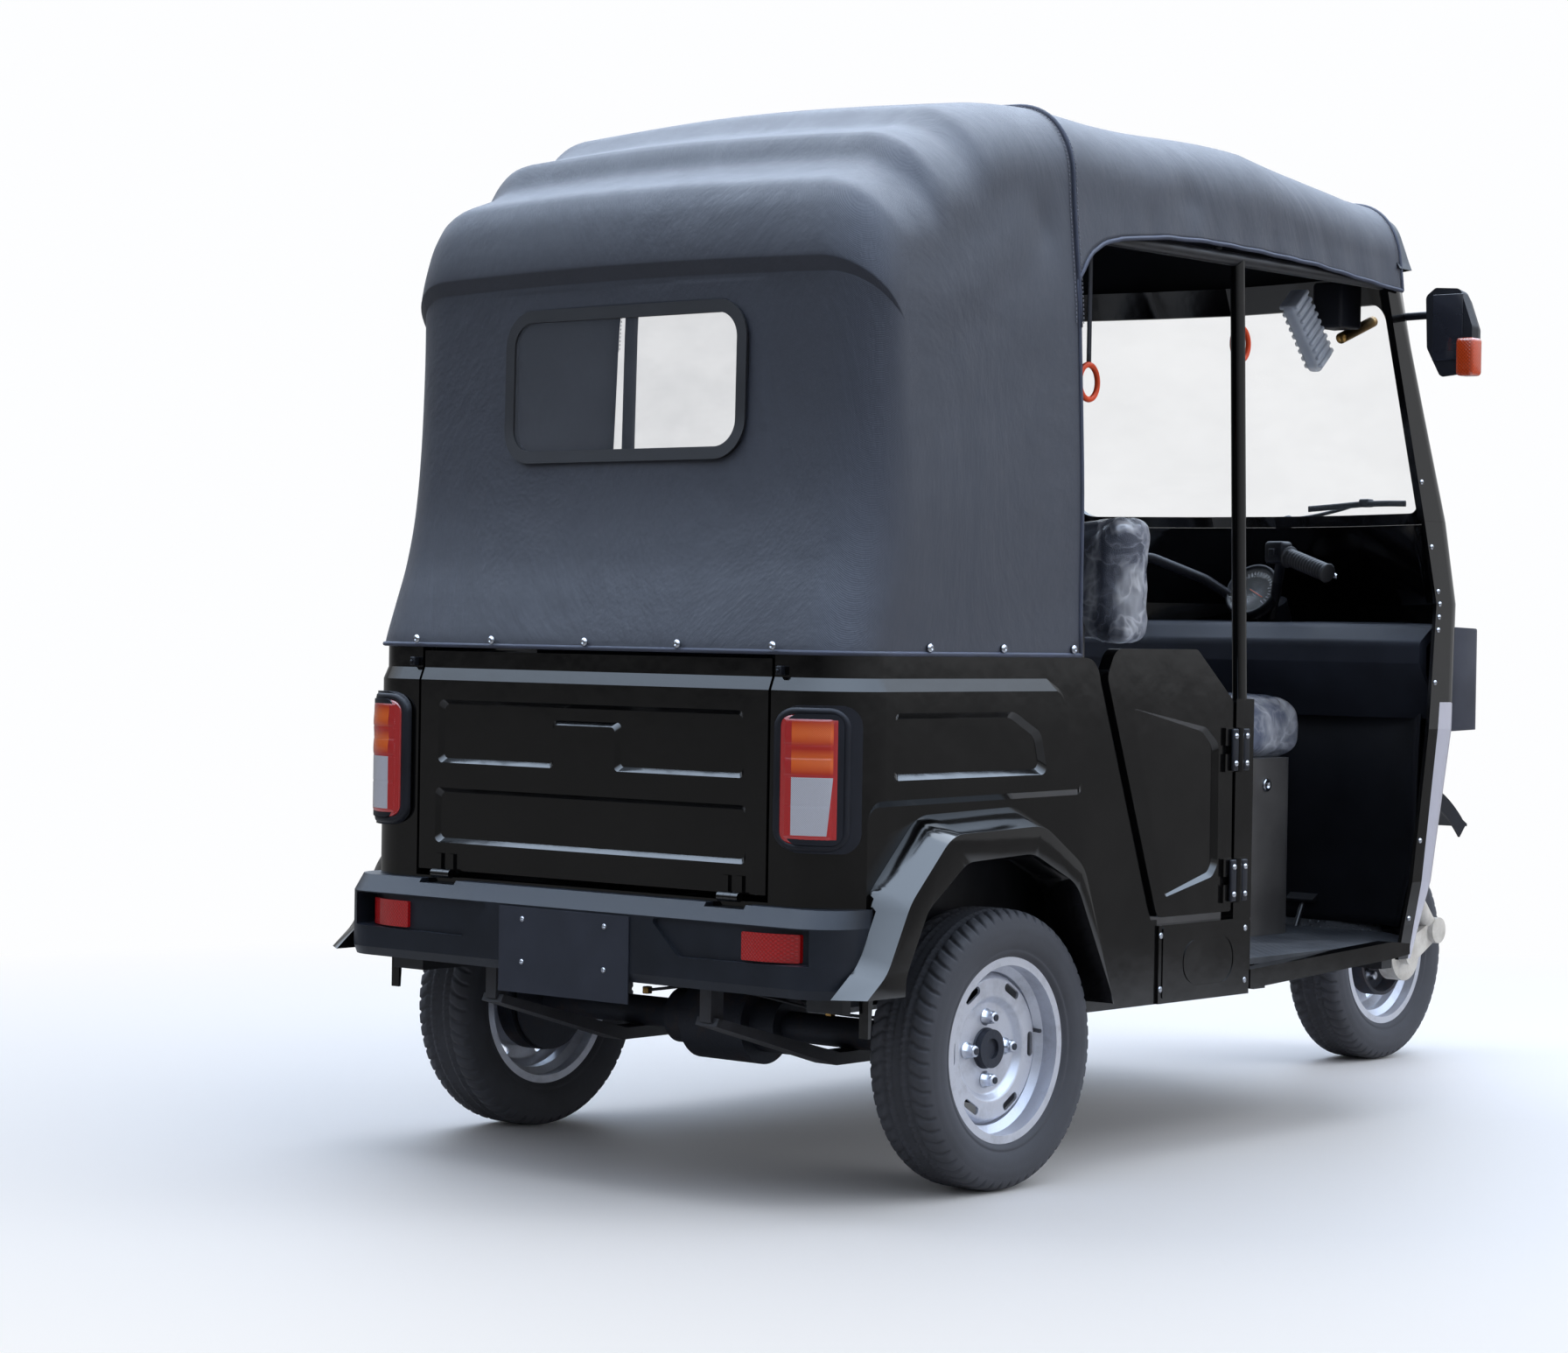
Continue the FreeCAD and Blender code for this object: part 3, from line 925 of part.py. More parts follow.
def build():
    add("chassis_frame", chassis_frame())
    add("rear_frame", rear_frame())
    add("steering_neck", steering_neck())
    add("floor_pan", floor_pan())
    add_sides("side_panel", side_panel())
    add_sides("door", door())
    add_pair("arch_flares", arch_flare())
    add_pair("wheel_tubs", wheel_tub())
    add_pair("sills", sill())
    add_pair("door_posts", b_post())
    add_pair("tail_lamps", tail_lamp())
    add("rear_valance", rear_valance())
    add("luggage_deck", luggage_deck())
    add("rear_bumper", bumper())
    add("reflectors", reflectors())
    add("number_plate", number_plate())
    add("tailgate", tailgate())
    add("canopy", canopy())
    ring, pane = gasket_and_window()
    add("window_gasket", ring)
    add("rear_window", pane)
    add("canopy_posts", canopy_posts())
    add("roof_rails", roof_rails())
    add("roof_hoops", roof_hoops())
    add("rear_bow", rear_bow())
    add("roof_stringers", roof_stringers())
    add("belt_rails", belt_rail())
    add("front_cowl", front_cowl())
    add("screen_frame", screen_frame())
    add("windscreen", windscreen())
    add("roof_visor", roof_visor())
    add("dashboard", dashboard())
    add_pair("headlamps", headlamp())
    add_pair("mirrors", mirror())
    add("bench_box", bench_box())
    x0, x1, half = BENCH_BACK_X, BENCH_FRONT_X, TUB_IN + 40
    add("bench_cushion", cushion(x0 + 80, x1 + 20, half, BENCH_Z + SEAT_GAP, BENCH_Z + 120, 28))
    add("bench_back", cushion(x0 - 20, x0 + 79, half, BENCH_Z + SEAT_GAP, 1240, 28))
    add("driver_base", driver_base())
    x0, x1 = DRIVER_X0 + 110, DRIVER_X1 + 58
    add("driver_cushion", cushion(x0, x1, 288, DRIVER_Z + SEAT_GAP, DRIVER_Z + 122, 30))
    add("driver_back", cushion(800, 930, 288, 950, 1218, 34))
    add("engine_block", engine_block())
    add("rear_axle", rear_axle())
    left, right = leaf_springs()
    add("leaf_springs", Part.makeCompound([left, right]))
    add("brake_pedal", brake_pedal())
    add("front_fork", front_fork())
    add("front_mudguard", mudguard())
    add("handlebar", handlebar())
    for name, side in (("left", 1), ("right", -1)):
        c = V(0, side * REAR_TRACK / 2, TYRE_R)
        add("rear_tyre_" + name, tyre(c))
        add("rear_rim_" + name, rim(c, side))
        add("rear_hub_" + name, hub(c, side))
    c = V(WHEELBASE, 0, TYRE_R)
    add("front_tyre", tyre(c))
    add("front_rim", rim(c, 1))
    add("front_hub", hub(c, 1))


build()
os.makedirs("parts", exist_ok=True)
for name, shape in NODES.items():
    shape.exportStep("parts/" + name + ".step")
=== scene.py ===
import math

import bmesh
import bpy
import numpy as np
from mathutils import Matrix, Vector


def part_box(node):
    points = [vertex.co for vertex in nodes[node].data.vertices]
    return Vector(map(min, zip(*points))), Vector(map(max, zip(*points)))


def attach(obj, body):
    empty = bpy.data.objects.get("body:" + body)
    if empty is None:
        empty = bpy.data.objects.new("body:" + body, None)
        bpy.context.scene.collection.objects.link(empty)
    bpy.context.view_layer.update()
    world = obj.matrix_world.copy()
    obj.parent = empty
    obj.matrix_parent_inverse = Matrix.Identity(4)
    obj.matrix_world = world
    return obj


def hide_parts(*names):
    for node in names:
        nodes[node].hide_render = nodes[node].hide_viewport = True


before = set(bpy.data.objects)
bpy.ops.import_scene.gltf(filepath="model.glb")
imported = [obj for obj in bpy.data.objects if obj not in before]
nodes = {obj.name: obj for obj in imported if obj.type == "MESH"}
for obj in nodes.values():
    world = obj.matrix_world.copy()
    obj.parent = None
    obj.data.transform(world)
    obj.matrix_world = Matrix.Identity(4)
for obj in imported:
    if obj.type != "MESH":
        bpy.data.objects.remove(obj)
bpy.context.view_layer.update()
scene = bpy.context.scene


# ------------------------------------------------------------------ measures
def middle(node):
    """Centre of a CAD node's box, as an array."""
    lo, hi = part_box(node)
    return (np.array(lo) + np.array(hi)) / 2


AXLE_X = middle("rear_tyre_left")[0]      # x of the rear axle in the row frame
WHEEL_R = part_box("rear_tyre_left")[1].z / 2
SIDES = ((1, "left"), (-1, "right"))


def at(x, y, z):
    """Point given with x measured from the rear axle."""
    return np.array([x + AXLE_X, y, z], float)


FROM_AXLE = at(0, 0, 0)                   # brings points measured from the rear axle into the row frame


# ------------------------------------------------------------------ mesh code
def linked(name, me):
    """Object of a mesh, put into the scene."""
    obj = bpy.data.objects.new(name, me)
    scene.collection.objects.link(obj)
    return obj


def make(name, verts, faces):
    """Smooth mesh object from an array of corners and a list of index arrays, one array per face size."""
    me = bpy.data.meshes.new(name)
    verts = np.asarray(verts, float).reshape(-1, 3)
    faces = [np.asarray(f, np.int32) for f in faces if len(f)]
    loops = np.concatenate([f.ravel() for f in faces])
    sizes = np.concatenate([np.full(len(f), f.shape[1], np.int32) for f in faces])
    me.vertices.add(len(verts))
    me.vertices.foreach_set("co", verts.ravel())
    me.loops.add(len(loops))
    me.loops.foreach_set("vertex_index", loops)
    me.polygons.add(len(sizes))
    me.polygons.foreach_set("loop_start", np.concatenate([[0], np.cumsum(sizes)[:-1]]).astype(np.int32))
    me.polygons.foreach_set("use_smooth", np.ones(len(sizes), bool))
    me.update(calc_edges=True)
    me.validate()
    return linked(name, me)


def read(me, what="co"):
    """Corners of a mesh, or their normals, as an (n, 3) array."""
    v = np.zeros(len(me.vertices) * 3)
    me.vertices.foreach_get(what, v)
    return v.reshape(-1, 3)


def write(me, co):
    """Moves the corners of a mesh to new places."""
    me.vertices.foreach_set("co", np.ascontiguousarray(co).ravel())
    me.update()


def faces_of(me):
    """Corner numbers of a mesh's faces: one array for each number of corners."""
    loops = np.zeros(len(me.loops), np.int32)
    size, start = np.zeros((2, len(me.polygons)), np.int32)
    me.loops.foreach_get("vertex_index", loops)
    me.polygons.foreach_get("loop_total", size)
    me.polygons.foreach_get("loop_start", start)
    return [loops[start[size == k][:, None] + np.arange(k)] for k in np.unique(size)]


def editable(me, gap):
    """Copy of a mesh to edit, with corners closer than gap joined."""
    bm = bmesh.new()
    bm.from_mesh(me)
    bmesh.ops.remove_doubles(bm, verts=bm.verts, dist=gap)
    return bm


def put_back(bm, me):
    """Puts an edited copy into a mesh."""
    bm.to_mesh(me)
    bm.free()
    return me


def outward(obj):
    """Turns the faces of a closed mesh outwards."""
    bm = editable(obj.data, 1e-6)
    bmesh.ops.recalc_face_normals(bm, faces=bm.faces)
    put_back(bm, obj.data)
    return obj


def quads(nu, nv, wrap_u=False, wrap_v=False, start=0):
    """Index array of the quads of an nu by nv grid whose rows follow each other."""
    i, j = np.meshgrid(np.arange(nu if wrap_u else nu - 1),
                       np.arange(nv if wrap_v else nv - 1), indexing="ij")
    here, over = i * nv, ((i + 1) % nu) * nv
    return np.stack([here + j, over + j, over + (j + 1) % nv, here + (j + 1) % nv], -1).reshape(-1, 4) + start


def surface(name, points, wrap_u=False, wrap_v=False):
    """Open or wrapped sheet through an (nu, nv, 3) grid of points."""
    return make(name, points, [quads(*points.shape[:2], wrap_u, wrap_v)])


def capped(name, rings):
    """Closed skin over (n, m, 3) rings: quads between rings and a fan to the middle of each end ring."""
    n, m = rings.shape[:2]
    verts = np.concatenate([rings.reshape(-1, 3), rings[0].mean(0)[None], rings[-1].mean(0)[None]])
    k = np.arange(m)
    low = np.stack([np.full(m, n * m), (k + 1) % m, k], -1)
    high = np.stack([np.full(m, n * m + 1), (n - 1) * m + k, (n - 1) * m + (k + 1) % m], -1)
    return outward(make(name, verts, [quads(n, m, False, True)[:, ::-1], low[:, ::-1], high[:, ::-1]]))


def unit(v):
    """Directions of length one."""
    return v / np.maximum(np.linalg.norm(v, axis=-1, keepdims=True), 1e-12)


def run_of(path):
    """Length of a path up to each of its points."""
    return np.concatenate([[0], np.cumsum(np.linalg.norm(np.diff(path, axis=0), axis=1))])


def sweep(name, profile, path, up=(0, 0, 1), scale=1.0, close=False):
    """A closed (m, 2) profile carried along an (n, 3) path: point = path + side * a + top * b, where side is
    the tangent crossed with up and top is side crossed with the tangent."""
    path = np.asarray(path, float)
    tangent = unit(np.gradient(path, axis=0))
    side = unit(np.cross(tangent, np.asarray(up, float)))
    top = np.cross(side, tangent)
    grown = np.asarray(profile, float)[None] * (np.ones(len(path)) * scale)[:, None, None]
    rings = path[:, None] + side[:, None] * grown[..., :1] + top[:, None] * grown[..., 1:]
    return outward(surface(name, rings, True, True)) if close else capped(name, rings)


def circle(r, n):
    """n points of a circle of radius r."""
    t = np.arange(n) * 2 * math.pi / n
    return np.stack([r * np.cos(t), r * np.sin(t)], -1)


def smooth_path(points, n):
    """n points on a Catmull-Rom curve through the given ones, evenly spread over its parameter."""
    p = np.asarray(points, float)
    p = np.concatenate([[2 * p[0] - p[1]], p, [2 * p[-1] - p[-2]]])
    t = np.linspace(0, len(p) - 3 - 1e-9, n)
    i = t.astype(int)
    f = (t - i)[:, None]
    a, b, c, d = p[i], p[i + 1], p[i + 2], p[i + 3]
    return 0.5 * (2 * b + (c - a) * f + (2 * a - 5 * b + 4 * c - d) * f ** 2
                  + (3 * b - a - 3 * c + d) * f ** 3)


def tube(name, points, r, n, sides, up=(0.013, 0.021, 1)):
    """Round bar of radius r on a smooth curve through the given points."""
    return sweep(name, circle(r, sides), smooth_path(points, n), up)


def lathe(name, profile, segments, axis="x"):
    """Solid turned round an axis from (radius, offset) points that begin and end near it."""
    t = (np.arange(segments) * 2 * math.pi / segments)[:, None]
    r, a = (np.array(profile)[None, :, i] + 0 * t for i in (0, 1))
    across, over = r * np.cos(t), r * np.sin(t)
    order = (a, across, over) if axis == "x" else (across, a, over)
    return outward(surface(name, np.stack(order, -1), True))


def merged(name, *objs):
    """One mesh object from several."""
    verts, faces, base = [], {}, 0
    for o in objs:
        verts.append(read(o.data))
        for f in faces_of(o.data):
            faces.setdefault(f.shape[1], []).append(f + base)
        base += len(verts[-1])
        bpy.data.objects.remove(o)
    return make(name, np.concatenate(verts), [np.concatenate(f) for f in faces.values()])


def copies(obj, name, matrices):
    """One mesh with the object's mesh repeated under each 4 by 4 matrix."""
    co = read(obj.data)
    m = np.asarray(matrices, float)
    verts = np.einsum("kij,vj->kvi", m, np.c_[co, np.ones(len(co))])[..., :3].reshape(-1, 3)
    base = (np.arange(len(m)) * len(co))[:, None, None]
    faces = [(f[None] + base).reshape(-1, f.shape[1]) for f in faces_of(obj.data)]
    bpy.data.objects.remove(obj)
    return make(name, verts, faces)


# ------------------------------------------------------------------ materials
class Value:
    """A number in a material's node tree; sums and products on it add Math nodes."""

    def __init__(self, owner, socket):
        self.owner, self.socket = owner, socket

    def calc(self, operation, *numbers):
        return self.owner.out("Math", dict(enumerate(numbers)), operation=operation)

    def __add__(self, o): return self.calc("ADD", self, o)
    def __radd__(self, o): return self.calc("ADD", o, self)
    def __sub__(self, o): return self.calc("SUBTRACT", self, o)
    def __rsub__(self, o): return self.calc("SUBTRACT", o, self)
    def __mul__(self, o): return self.calc("MULTIPLY", self, o)
    def __rmul__(self, o): return self.calc("MULTIPLY", o, self)
    def __pow__(self, o): return self.calc("POWER", self, o)
    def __gt__(self, o): return self.calc("GREATER_THAN", self, o)
    def __lt__(self, o): return self.calc("LESS_THAN", self, o)
    def __abs__(self): return self.calc("ABSOLUTE", self)
    def sin(self): return self.calc("SINE", self)
    def highest(self, o): return self.calc("MAXIMUM", self, o)
    def lowest(self, o): return self.calc("MINIMUM", self, o)

    def ramp(self, low, high, a=0.0, b=1.0):
        """Goes from a to b as the number goes from low to high, and stays there beyond."""
        return self.owner.out("MapRange", {0: self, 1: low, 2: high, 3: a, 4: b}, clamp=True)


class Tree:
    """The node tree of a material or of the world, filled by short calls."""

    def __init__(self, owner):
        owner.use_nodes = True
        self.tree = owner.node_tree
        self.tree.nodes.clear()

    def node(self, kind, inputs=None, **settings):
        """Adds a node: its settings first, then the numbers, colours or links of its sockets."""
        n = self.tree.nodes.new("ShaderNode" + kind)
        for key, v in settings.items():
            setattr(n, key, v)
        for key, v in (inputs or {}).items():
            self.feed(n.inputs[key], v)
        return n

    def feed(self, socket, v):
        v = getattr(v, "socket", v)
        if isinstance(v, bpy.types.NodeSocket):
            self.tree.links.new(v, socket)
        else:
            socket.default_value = v

    def out(self, kind, inputs, output=0, **settings):
        return Value(self, self.node(kind, inputs, **settings).outputs[output])

    def axes(self, kind="Object"):
        """The three coordinates as numbers."""
        n = self.node("SeparateXYZ", {0: self.node("TexCoord").outputs[kind]})
        return [Value(self, n.outputs[i]) for i in range(3)]

    def straight(self):
        """One for rays that come straight from the camera or through glass."""
        paths = self.node("LightPath").outputs
        return Value(self, paths["Is Camera Ray"]).highest(Value(self, paths["Is Transmission Ray"]))

    def blend(self, factor, a, b):
        """Colour a where the factor is 0 and b where it is 1."""
        return self.out("Mix", {0: factor, 6: a, 7: b}, 2, data_type="RGBA")


class Finish(Tree):
    """A procedural material with one Principled shader, patterned by the piece's own coordinates."""

    def __init__(self, name, **inputs):
        self.mat = bpy.data.materials.new(name)
        super().__init__(self.mat)
        self.shader = self.node("BsdfPrincipled")
        self.end = self.node("OutputMaterial", {0: self.shader.outputs[0]})
        self.set(**inputs)

    def set(self, **inputs):
        for key, v in inputs.items():
            self.feed(self.shader.inputs[key.replace("_", " ")], v)
        return self

    def place(self, scale=(1, 1, 1)):
        place = self.node("TexCoord").outputs["Object"]
        return self.node("Mapping", {"Vector": place, "Scale": scale}).outputs[0]

    def noise(self, scale, detail, rough=0.5, stretch=(1, 1, 1), distort=0.0):
        return self.out("TexNoise", {"Vector": self.place(stretch), "Scale": scale, "Detail": detail,
                                     "Roughness": rough, "Distortion": distort})

    def cells(self, scale):
        return self.out("TexVoronoi", {"Vector": self.place(), "Scale": scale})

    def mottle(self, spots, near, far, rough, spread, share=1.0):
        """Goes from the near colour to a share of the far one, and from rough up by spread, by the spots."""
        return self.set(Base_Color=self.blend(spots * share, near, far), Roughness=rough + spots * spread)

    def bump(self, height, depth, strength):
        """Raises the surface by height times depth, in metres."""
        n = self.node("Bump", {"Height": height, "Distance": depth, "Strength": strength})
        return self.set(Normal=n.outputs[0])


def rgb(*shade, k=1.0, plus=0):
    """Linear colour from screen values of 0 to 255, each first multiplied by k and raised by plus."""
    v = np.minimum([int(c * k + plus) for c in shade], 255) / 255.0
    return (*map(float, np.where(v <= 0.04045, v / 12.92, ((v + 0.055) / 1.055) ** 2.4)), 1.0)


# ------------------------------------------------------------------ camera, lamps, floor
CAMERA_AT = (-5.9491, -4.3153, 0.9764)
YAW, PITCH, ROLL = 0.7079, 0.0135, 0.0159       # radians; pitch is downwards
LENS = 81.165
NEAR_WHITE = (0.985, 0.99, 1.0, 1)


def set_camera():
    """Camera looking along yaw and pitch, then rolled about its own axis."""
    ahead = np.array([math.cos(YAW) * math.cos(PITCH), math.sin(YAW) * math.cos(PITCH), -math.sin(PITCH)])
    right = np.array([math.sin(YAW), -math.cos(YAW), 0.0])
    over = np.cross(right, ahead)
    c, s = math.cos(ROLL), math.sin(ROLL)
    m = np.eye(4)
    m[:3, 0], m[:3, 1], m[:3, 2], m[:3, 3] = c * right + s * over, c * over - s * right, -ahead, CAMERA_AT
    data = bpy.data.cameras.new("camera")
    data.sensor_width, data.lens, data.clip_start, data.clip_end = 36.0, LENS, 0.05, 400
    cam = linked("camera", data)
    cam.matrix_world = Matrix(m.tolist())
    scene.camera = cam


def soft_box(name, place, aim, size, glow, seen=False):
    """Rectangular lamp at place that faces aim; glow is how bright its face is, white being 1."""
    data = bpy.data.lights.new(name, "AREA")
    data.shape, data.size, data.size_y = "RECTANGLE", *size
    data.energy = glow * math.pi * size[0] * size[1]
    lamp = linked(name, data)
    lamp.location = place
    lamp.rotation_euler = (Vector(aim) - Vector(place)).to_track_quat("-Z", "Y").to_euler()
    lamp.visible_glossy, lamp.visible_camera = seen, False


def set_world():
    """White where it is seen straight or through glass; softly shaded in reflections and as fill light."""
    scene.world = bpy.data.worlds.new("studio")
    sky = Tree(scene.world)
    x, y, z = sky.axes("Generated")
    ahead = (x * 0.8 - y * 0.6).ramp(-0.75, 0.55, 0.05, 0.6)
    above = z.ramp(0.22, 0.5)
    mirrored = ahead + above * z.ramp(0.4, 0.9, 2.4, 7.0)
    plain = 0.27 + z.ramp(-0.2, 0.9, 0.0, 0.24)
    glossy = Value(sky, sky.node("LightPath").outputs["Is Glossy Ray"])
    tone = sky.blend(glossy * above, (0.95, 0.97, 1.0, 1), (0.66, 0.8, 1.0, 1))
    shade, white = (sky.node("Background", {"Color": colour, "Strength": level}).outputs[0]
                    for colour, level in ((tone, plain + glossy * (mirrored - plain)), (NEAR_WHITE, 1.0)))
    mix = sky.node("MixShader", {0: sky.straight(), 1: shade, 2: white}).outputs[0]
    sky.node("OutputWorld", {"Surface": mix})


def set_floor():
    """Pale floor that goes over into the white background far away."""
    floor = make("floor", [[-60, -60, 0], [60, -60, 0], [60, 60, 0], [-60, 60, 0]], [[[0, 1, 2, 3]]])
    look = Finish("pale_floor", Base_Color=rgb(236, 238, 243), Roughness=0.55, Specular_IOR_Level=0.25)
    x, y, _ = look.axes()
    far = ((x * x + y * y) ** 0.5).ramp(1.6, 4.0)
    glow = look.node("Emission", {"Color": NEAR_WHITE, "Strength": 0.22 + look.straight() * 0.78}).outputs[0]
    mix = look.node("MixShader", {0: far, 1: look.shader.outputs[0], 2: glow}).outputs[0]
    look.feed(look.end.inputs[0], mix)
    floor.data.materials.append(look.mat)


scene.view_settings.view_transform = "Standard"
set_camera()
set_world()
set_floor()
soft_box("overhead", (0.3, 0.2, 5.2), (0.1, 0, 0), (6.5, 3.6), 1.75, True)
soft_box("front_right", (3.6, -6.6, 2.4), (0.1, -0.3, 0.9), (5.4, 3.2), 3.3)
soft_box("high_right", (3.4, -4.6, 5.4), (0.5, -0.4, 1.7), (3.2, 2.2), 3.6)
soft_box("rear_right", (-5.6, -4.6, 2.4), (-0.4, 0, 0.8), (3.0, 2.6), 0.25)

# ------------------------------------------------------------------ finishes
def painted_floor_reflection(m):
    """Painted reflection of the pale floor: one on the outer side of the cowl below its crease, ahead of the
    black strip along its rear edge.
    """
    x, y, z = m.axes()
    across, along, _ = m.axes("Normal")
    outside = across * (x - 0.4) + along * y > 0.0
    return outside * (z < 0.745 + (y * y) * 0.3) * (x > 0.434 + (z - 0.316) * 0.147)


def gloss_black(name="gloss_black", floor_reflection=False):
    """Black paint with a faint ripple and a little dust low down; a cowl also gets a pale painted reflection
    of the floor on its lower outer side.
    """
    m = Finish(name, IOR=1.52)
    z = m.axes()[2]
    dust = m.noise(6, 5, 0.6).ramp(0.42, 0.75) * z.ramp(0.25, 0.9, 0.5, 0.12)
    coat = m.blend(dust * 0.16, rgb(9, 9, 11), rgb(78, 76, 74))
    if floor_reflection:
        # Pale painted reflection of the floor on the cowl's lower outer side, in place of its black.
        coat = m.blend(painted_floor_reflection(m), coat, rgb(186, 188, 204))
    m.set(Base_Color=coat, Roughness=0.08 + dust * 0.14 + m.noise(40, 3) * 0.04)
    return m.bump(m.noise(14, 2) + m.noise(120, 2) * 0.06, 0.0011, 0.35)


def satin_metal(name, shade, rough=0.42):
    """Painted steel with dust in its grain."""
    m = Finish(name)
    m.mottle(m.noise(22, 5, 0.65).ramp(0.35, 0.8), rgb(*shade), rgb(*shade, k=1.35, plus=8),
             rough - 0.06, 0.2)
    return m.bump(m.noise(260, 2), 0.0004, 0.4)


def grained_plastic(name, shade, rough=0.42, grain=900):
    """Moulded plastic with a fine leather grain."""
    m = Finish(name, Specular_IOR_Level=0.22)
    cloud = m.noise(9, 4)
    m.set(Base_Color=m.blend(cloud.ramp(0.3, 0.75), rgb(*shade), rgb(*shade, k=1.22, plus=3)),
          Roughness=rough + cloud * 0.12 - 0.06)
    return m.bump(m.cells(grain).ramp(0.0, 0.6), 0.0003, 0.45)


def coated_cloth():
    """Vinyl coated canvas: fine woven grain, soft creases, paler where it is rubbed."""
    m = Finish("coated_cloth", Sheen_Weight=0.18, Sheen_Roughness=0.4)
    x, y, z = m.axes()
    weave = ((x + y) * 2600).sin() * (z * 2600).sin()
    creases = m.noise(3.2, 6, 0.62, (1, 1, 0.55), 0.6)
    fine = m.noise(17, 5, 0.6)
    rub = m.noise(5, 6, 0.7).ramp(0.52, 0.78)
    tone = m.blend(rub * 0.5, rgb(50, 54, 66), rgb(64, 69, 82))
    m.set(Base_Color=m.blend(fine.ramp(0.3, 0.7) * 0.5, tone, rgb(43, 47, 58)), Roughness=0.43 + fine * 0.16)
    return m.bump(creases * 0.85 + fine * 0.1 + weave * 0.012, 0.014, 0.55)


def fork_finish():
    """White cast link low down, black tube above it."""
    m = Finish("fork_paint", Roughness=0.42)
    cast = m.blend(m.noise(22, 5, 0.65).ramp(0.4, 0.8), rgb(206, 204, 200), rgb(150, 146, 140))
    m.set(Base_Color=m.blend(m.axes()[2] > 0.42, cast, rgb(24, 25, 29)))
    return m.bump(m.noise(120, 4), 0.0008, 0.4)


def ribbed_mat():
    """Rubber floor cover with rows of small raised studs."""
    m = Finish("floor_mat")
    x, y, _ = m.axes()
    m.mottle(m.noise(9, 5, 0.7).ramp(0.4, 0.8), rgb(38, 40, 45), rgb(86, 88, 92), 0.55, 0.2, 0.6)
    return m.bump(((x * 300).sin() * (y * 300).sin()).ramp(0.25, 0.7), 0.0016, 0.8)


def rubber(name="tyre_rubber", shade=(50, 51, 56), rough=0.72):
    """Rubber with a pale bloom and a fine grain."""
    m = Finish(name)
    bloom = m.noise(13, 5, 0.6).ramp(0.3, 0.75)
    m.mottle(bloom, rgb(*shade), rgb(*shade, k=1.28), rough, 0.12)
    return m.bump(m.noise(700, 3) + bloom * 0.4, 0.0006, 0.5)


def leather():
    """Dark seat cover with a pebbled grain."""
    m = Finish("seat_cover")
    m.mottle(m.noise(7, 5).ramp(0.35, 0.75), rgb(34, 37, 47), rgb(46, 50, 62), 0.34, 0.18)
    return m.bump(m.cells(420).ramp(0.0, 0.55) + m.noise(9, 4) * 2.2, 0.0012, 0.5)


def clear_film(name, haze, fold_highlight):
    """Creased packing film: sharp folds painted pale and more opaque as painted highlights, a haze between
    them whose opacity is given.
    """
    m = Finish(name, Coat_Weight=0.5, Coat_Roughness=0.1)
    sharp = 1 - abs(m.noise(4.2, 3, 0.5, (1, 1.4, 0.8), 1.1) * 2 - 1)
    small = 1 - abs(m.noise(15, 2, distort=0.8) * 2 - 1)
    folds = (sharp.ramp(0.8, 1.0) * 0.75 + small.ramp(0.88, 1.0) * 0.35).lowest(1.0)
    # Painted highlight: along the folds the colour turns pale and the film more opaque.
    m.set(Base_Color=m.blend(folds, rgb(150, 161, 190), rgb(222, 229, 244)),
          Alpha=folds.ramp(0.0, 1.0, haze, fold_highlight), Roughness=0.16 + small * 0.14)
    return m.bump(sharp + small * 0.3, 0.008, 0.6)


def glazing(name, tint, alpha, rough=0.03):
    """Clear pane with faint smears that run upwards."""
    m = Finish(name, Base_Color=rgb(*tint))
    smear = m.noise(4, 5, 0.6, (1, 1, 2.2)).ramp(0.4, 0.8)
    return m.set(Alpha=alpha + smear * alpha * 0.5, Roughness=rough + smear * 0.1)


def bright_metal(name="bright_metal", shade=(178, 181, 188), rough=0.22):
    """Plated metal with a light haze."""
    m = Finish(name, Metallic=1.0)
    return m.mottle(m.noise(60, 4).ramp(0.3, 0.8), rgb(*shade), rgb(*shade, k=0.8), rough, 0.15)


def wheel_paint():
    """Silver wheel lacquer with a fine sparkle and patches of grime."""
    m = Finish("wheel_silver", Metallic=0.25)
    lacquer = m.blend(m.noise(1500, 2).ramp(0.35, 0.7), rgb(180, 184, 197), rgb(206, 210, 220))
    m.mottle(m.noise(16, 5, 0.7).ramp(0.5, 0.8), lacquer, rgb(128, 129, 137), 0.33, 0.25, 0.6)
    return m.bump(m.noise(300, 2), 0.0002, 0.3)


def cast_metal(name, shade, rough=0.6):
    """Rough cast metal with patches of rust."""
    m = Finish(name, Metallic=0.35)
    m.mottle(m.noise(18, 6, 0.7).ramp(0.52, 0.72), rgb(*shade), rgb(86, 70, 62), rough, 0.2, 0.5)
    return m.bump(m.noise(180, 4), 0.0012, 0.6)


def lamp_colour(name, shade, glow=0.0, rough=0.12):
    """Coloured lens with fine prisms on its inner face."""
    m = Finish(name, Roughness=rough, Coat_Weight=0.8, Coat_Roughness=0.04)
    x, y, z = m.axes()
    prisms = ((x + y) * 900).sin() * (z * 900).sin()
    m.set(Base_Color=m.blend(prisms.ramp(-0.6, 0.8), rgb(*shade, k=0.82), rgb(*shade)))
    if glow:
        m.set(Emission_Color=rgb(*shade), Emission_Strength=glow)
    return m.bump(prisms, 0.0005, 0.5)


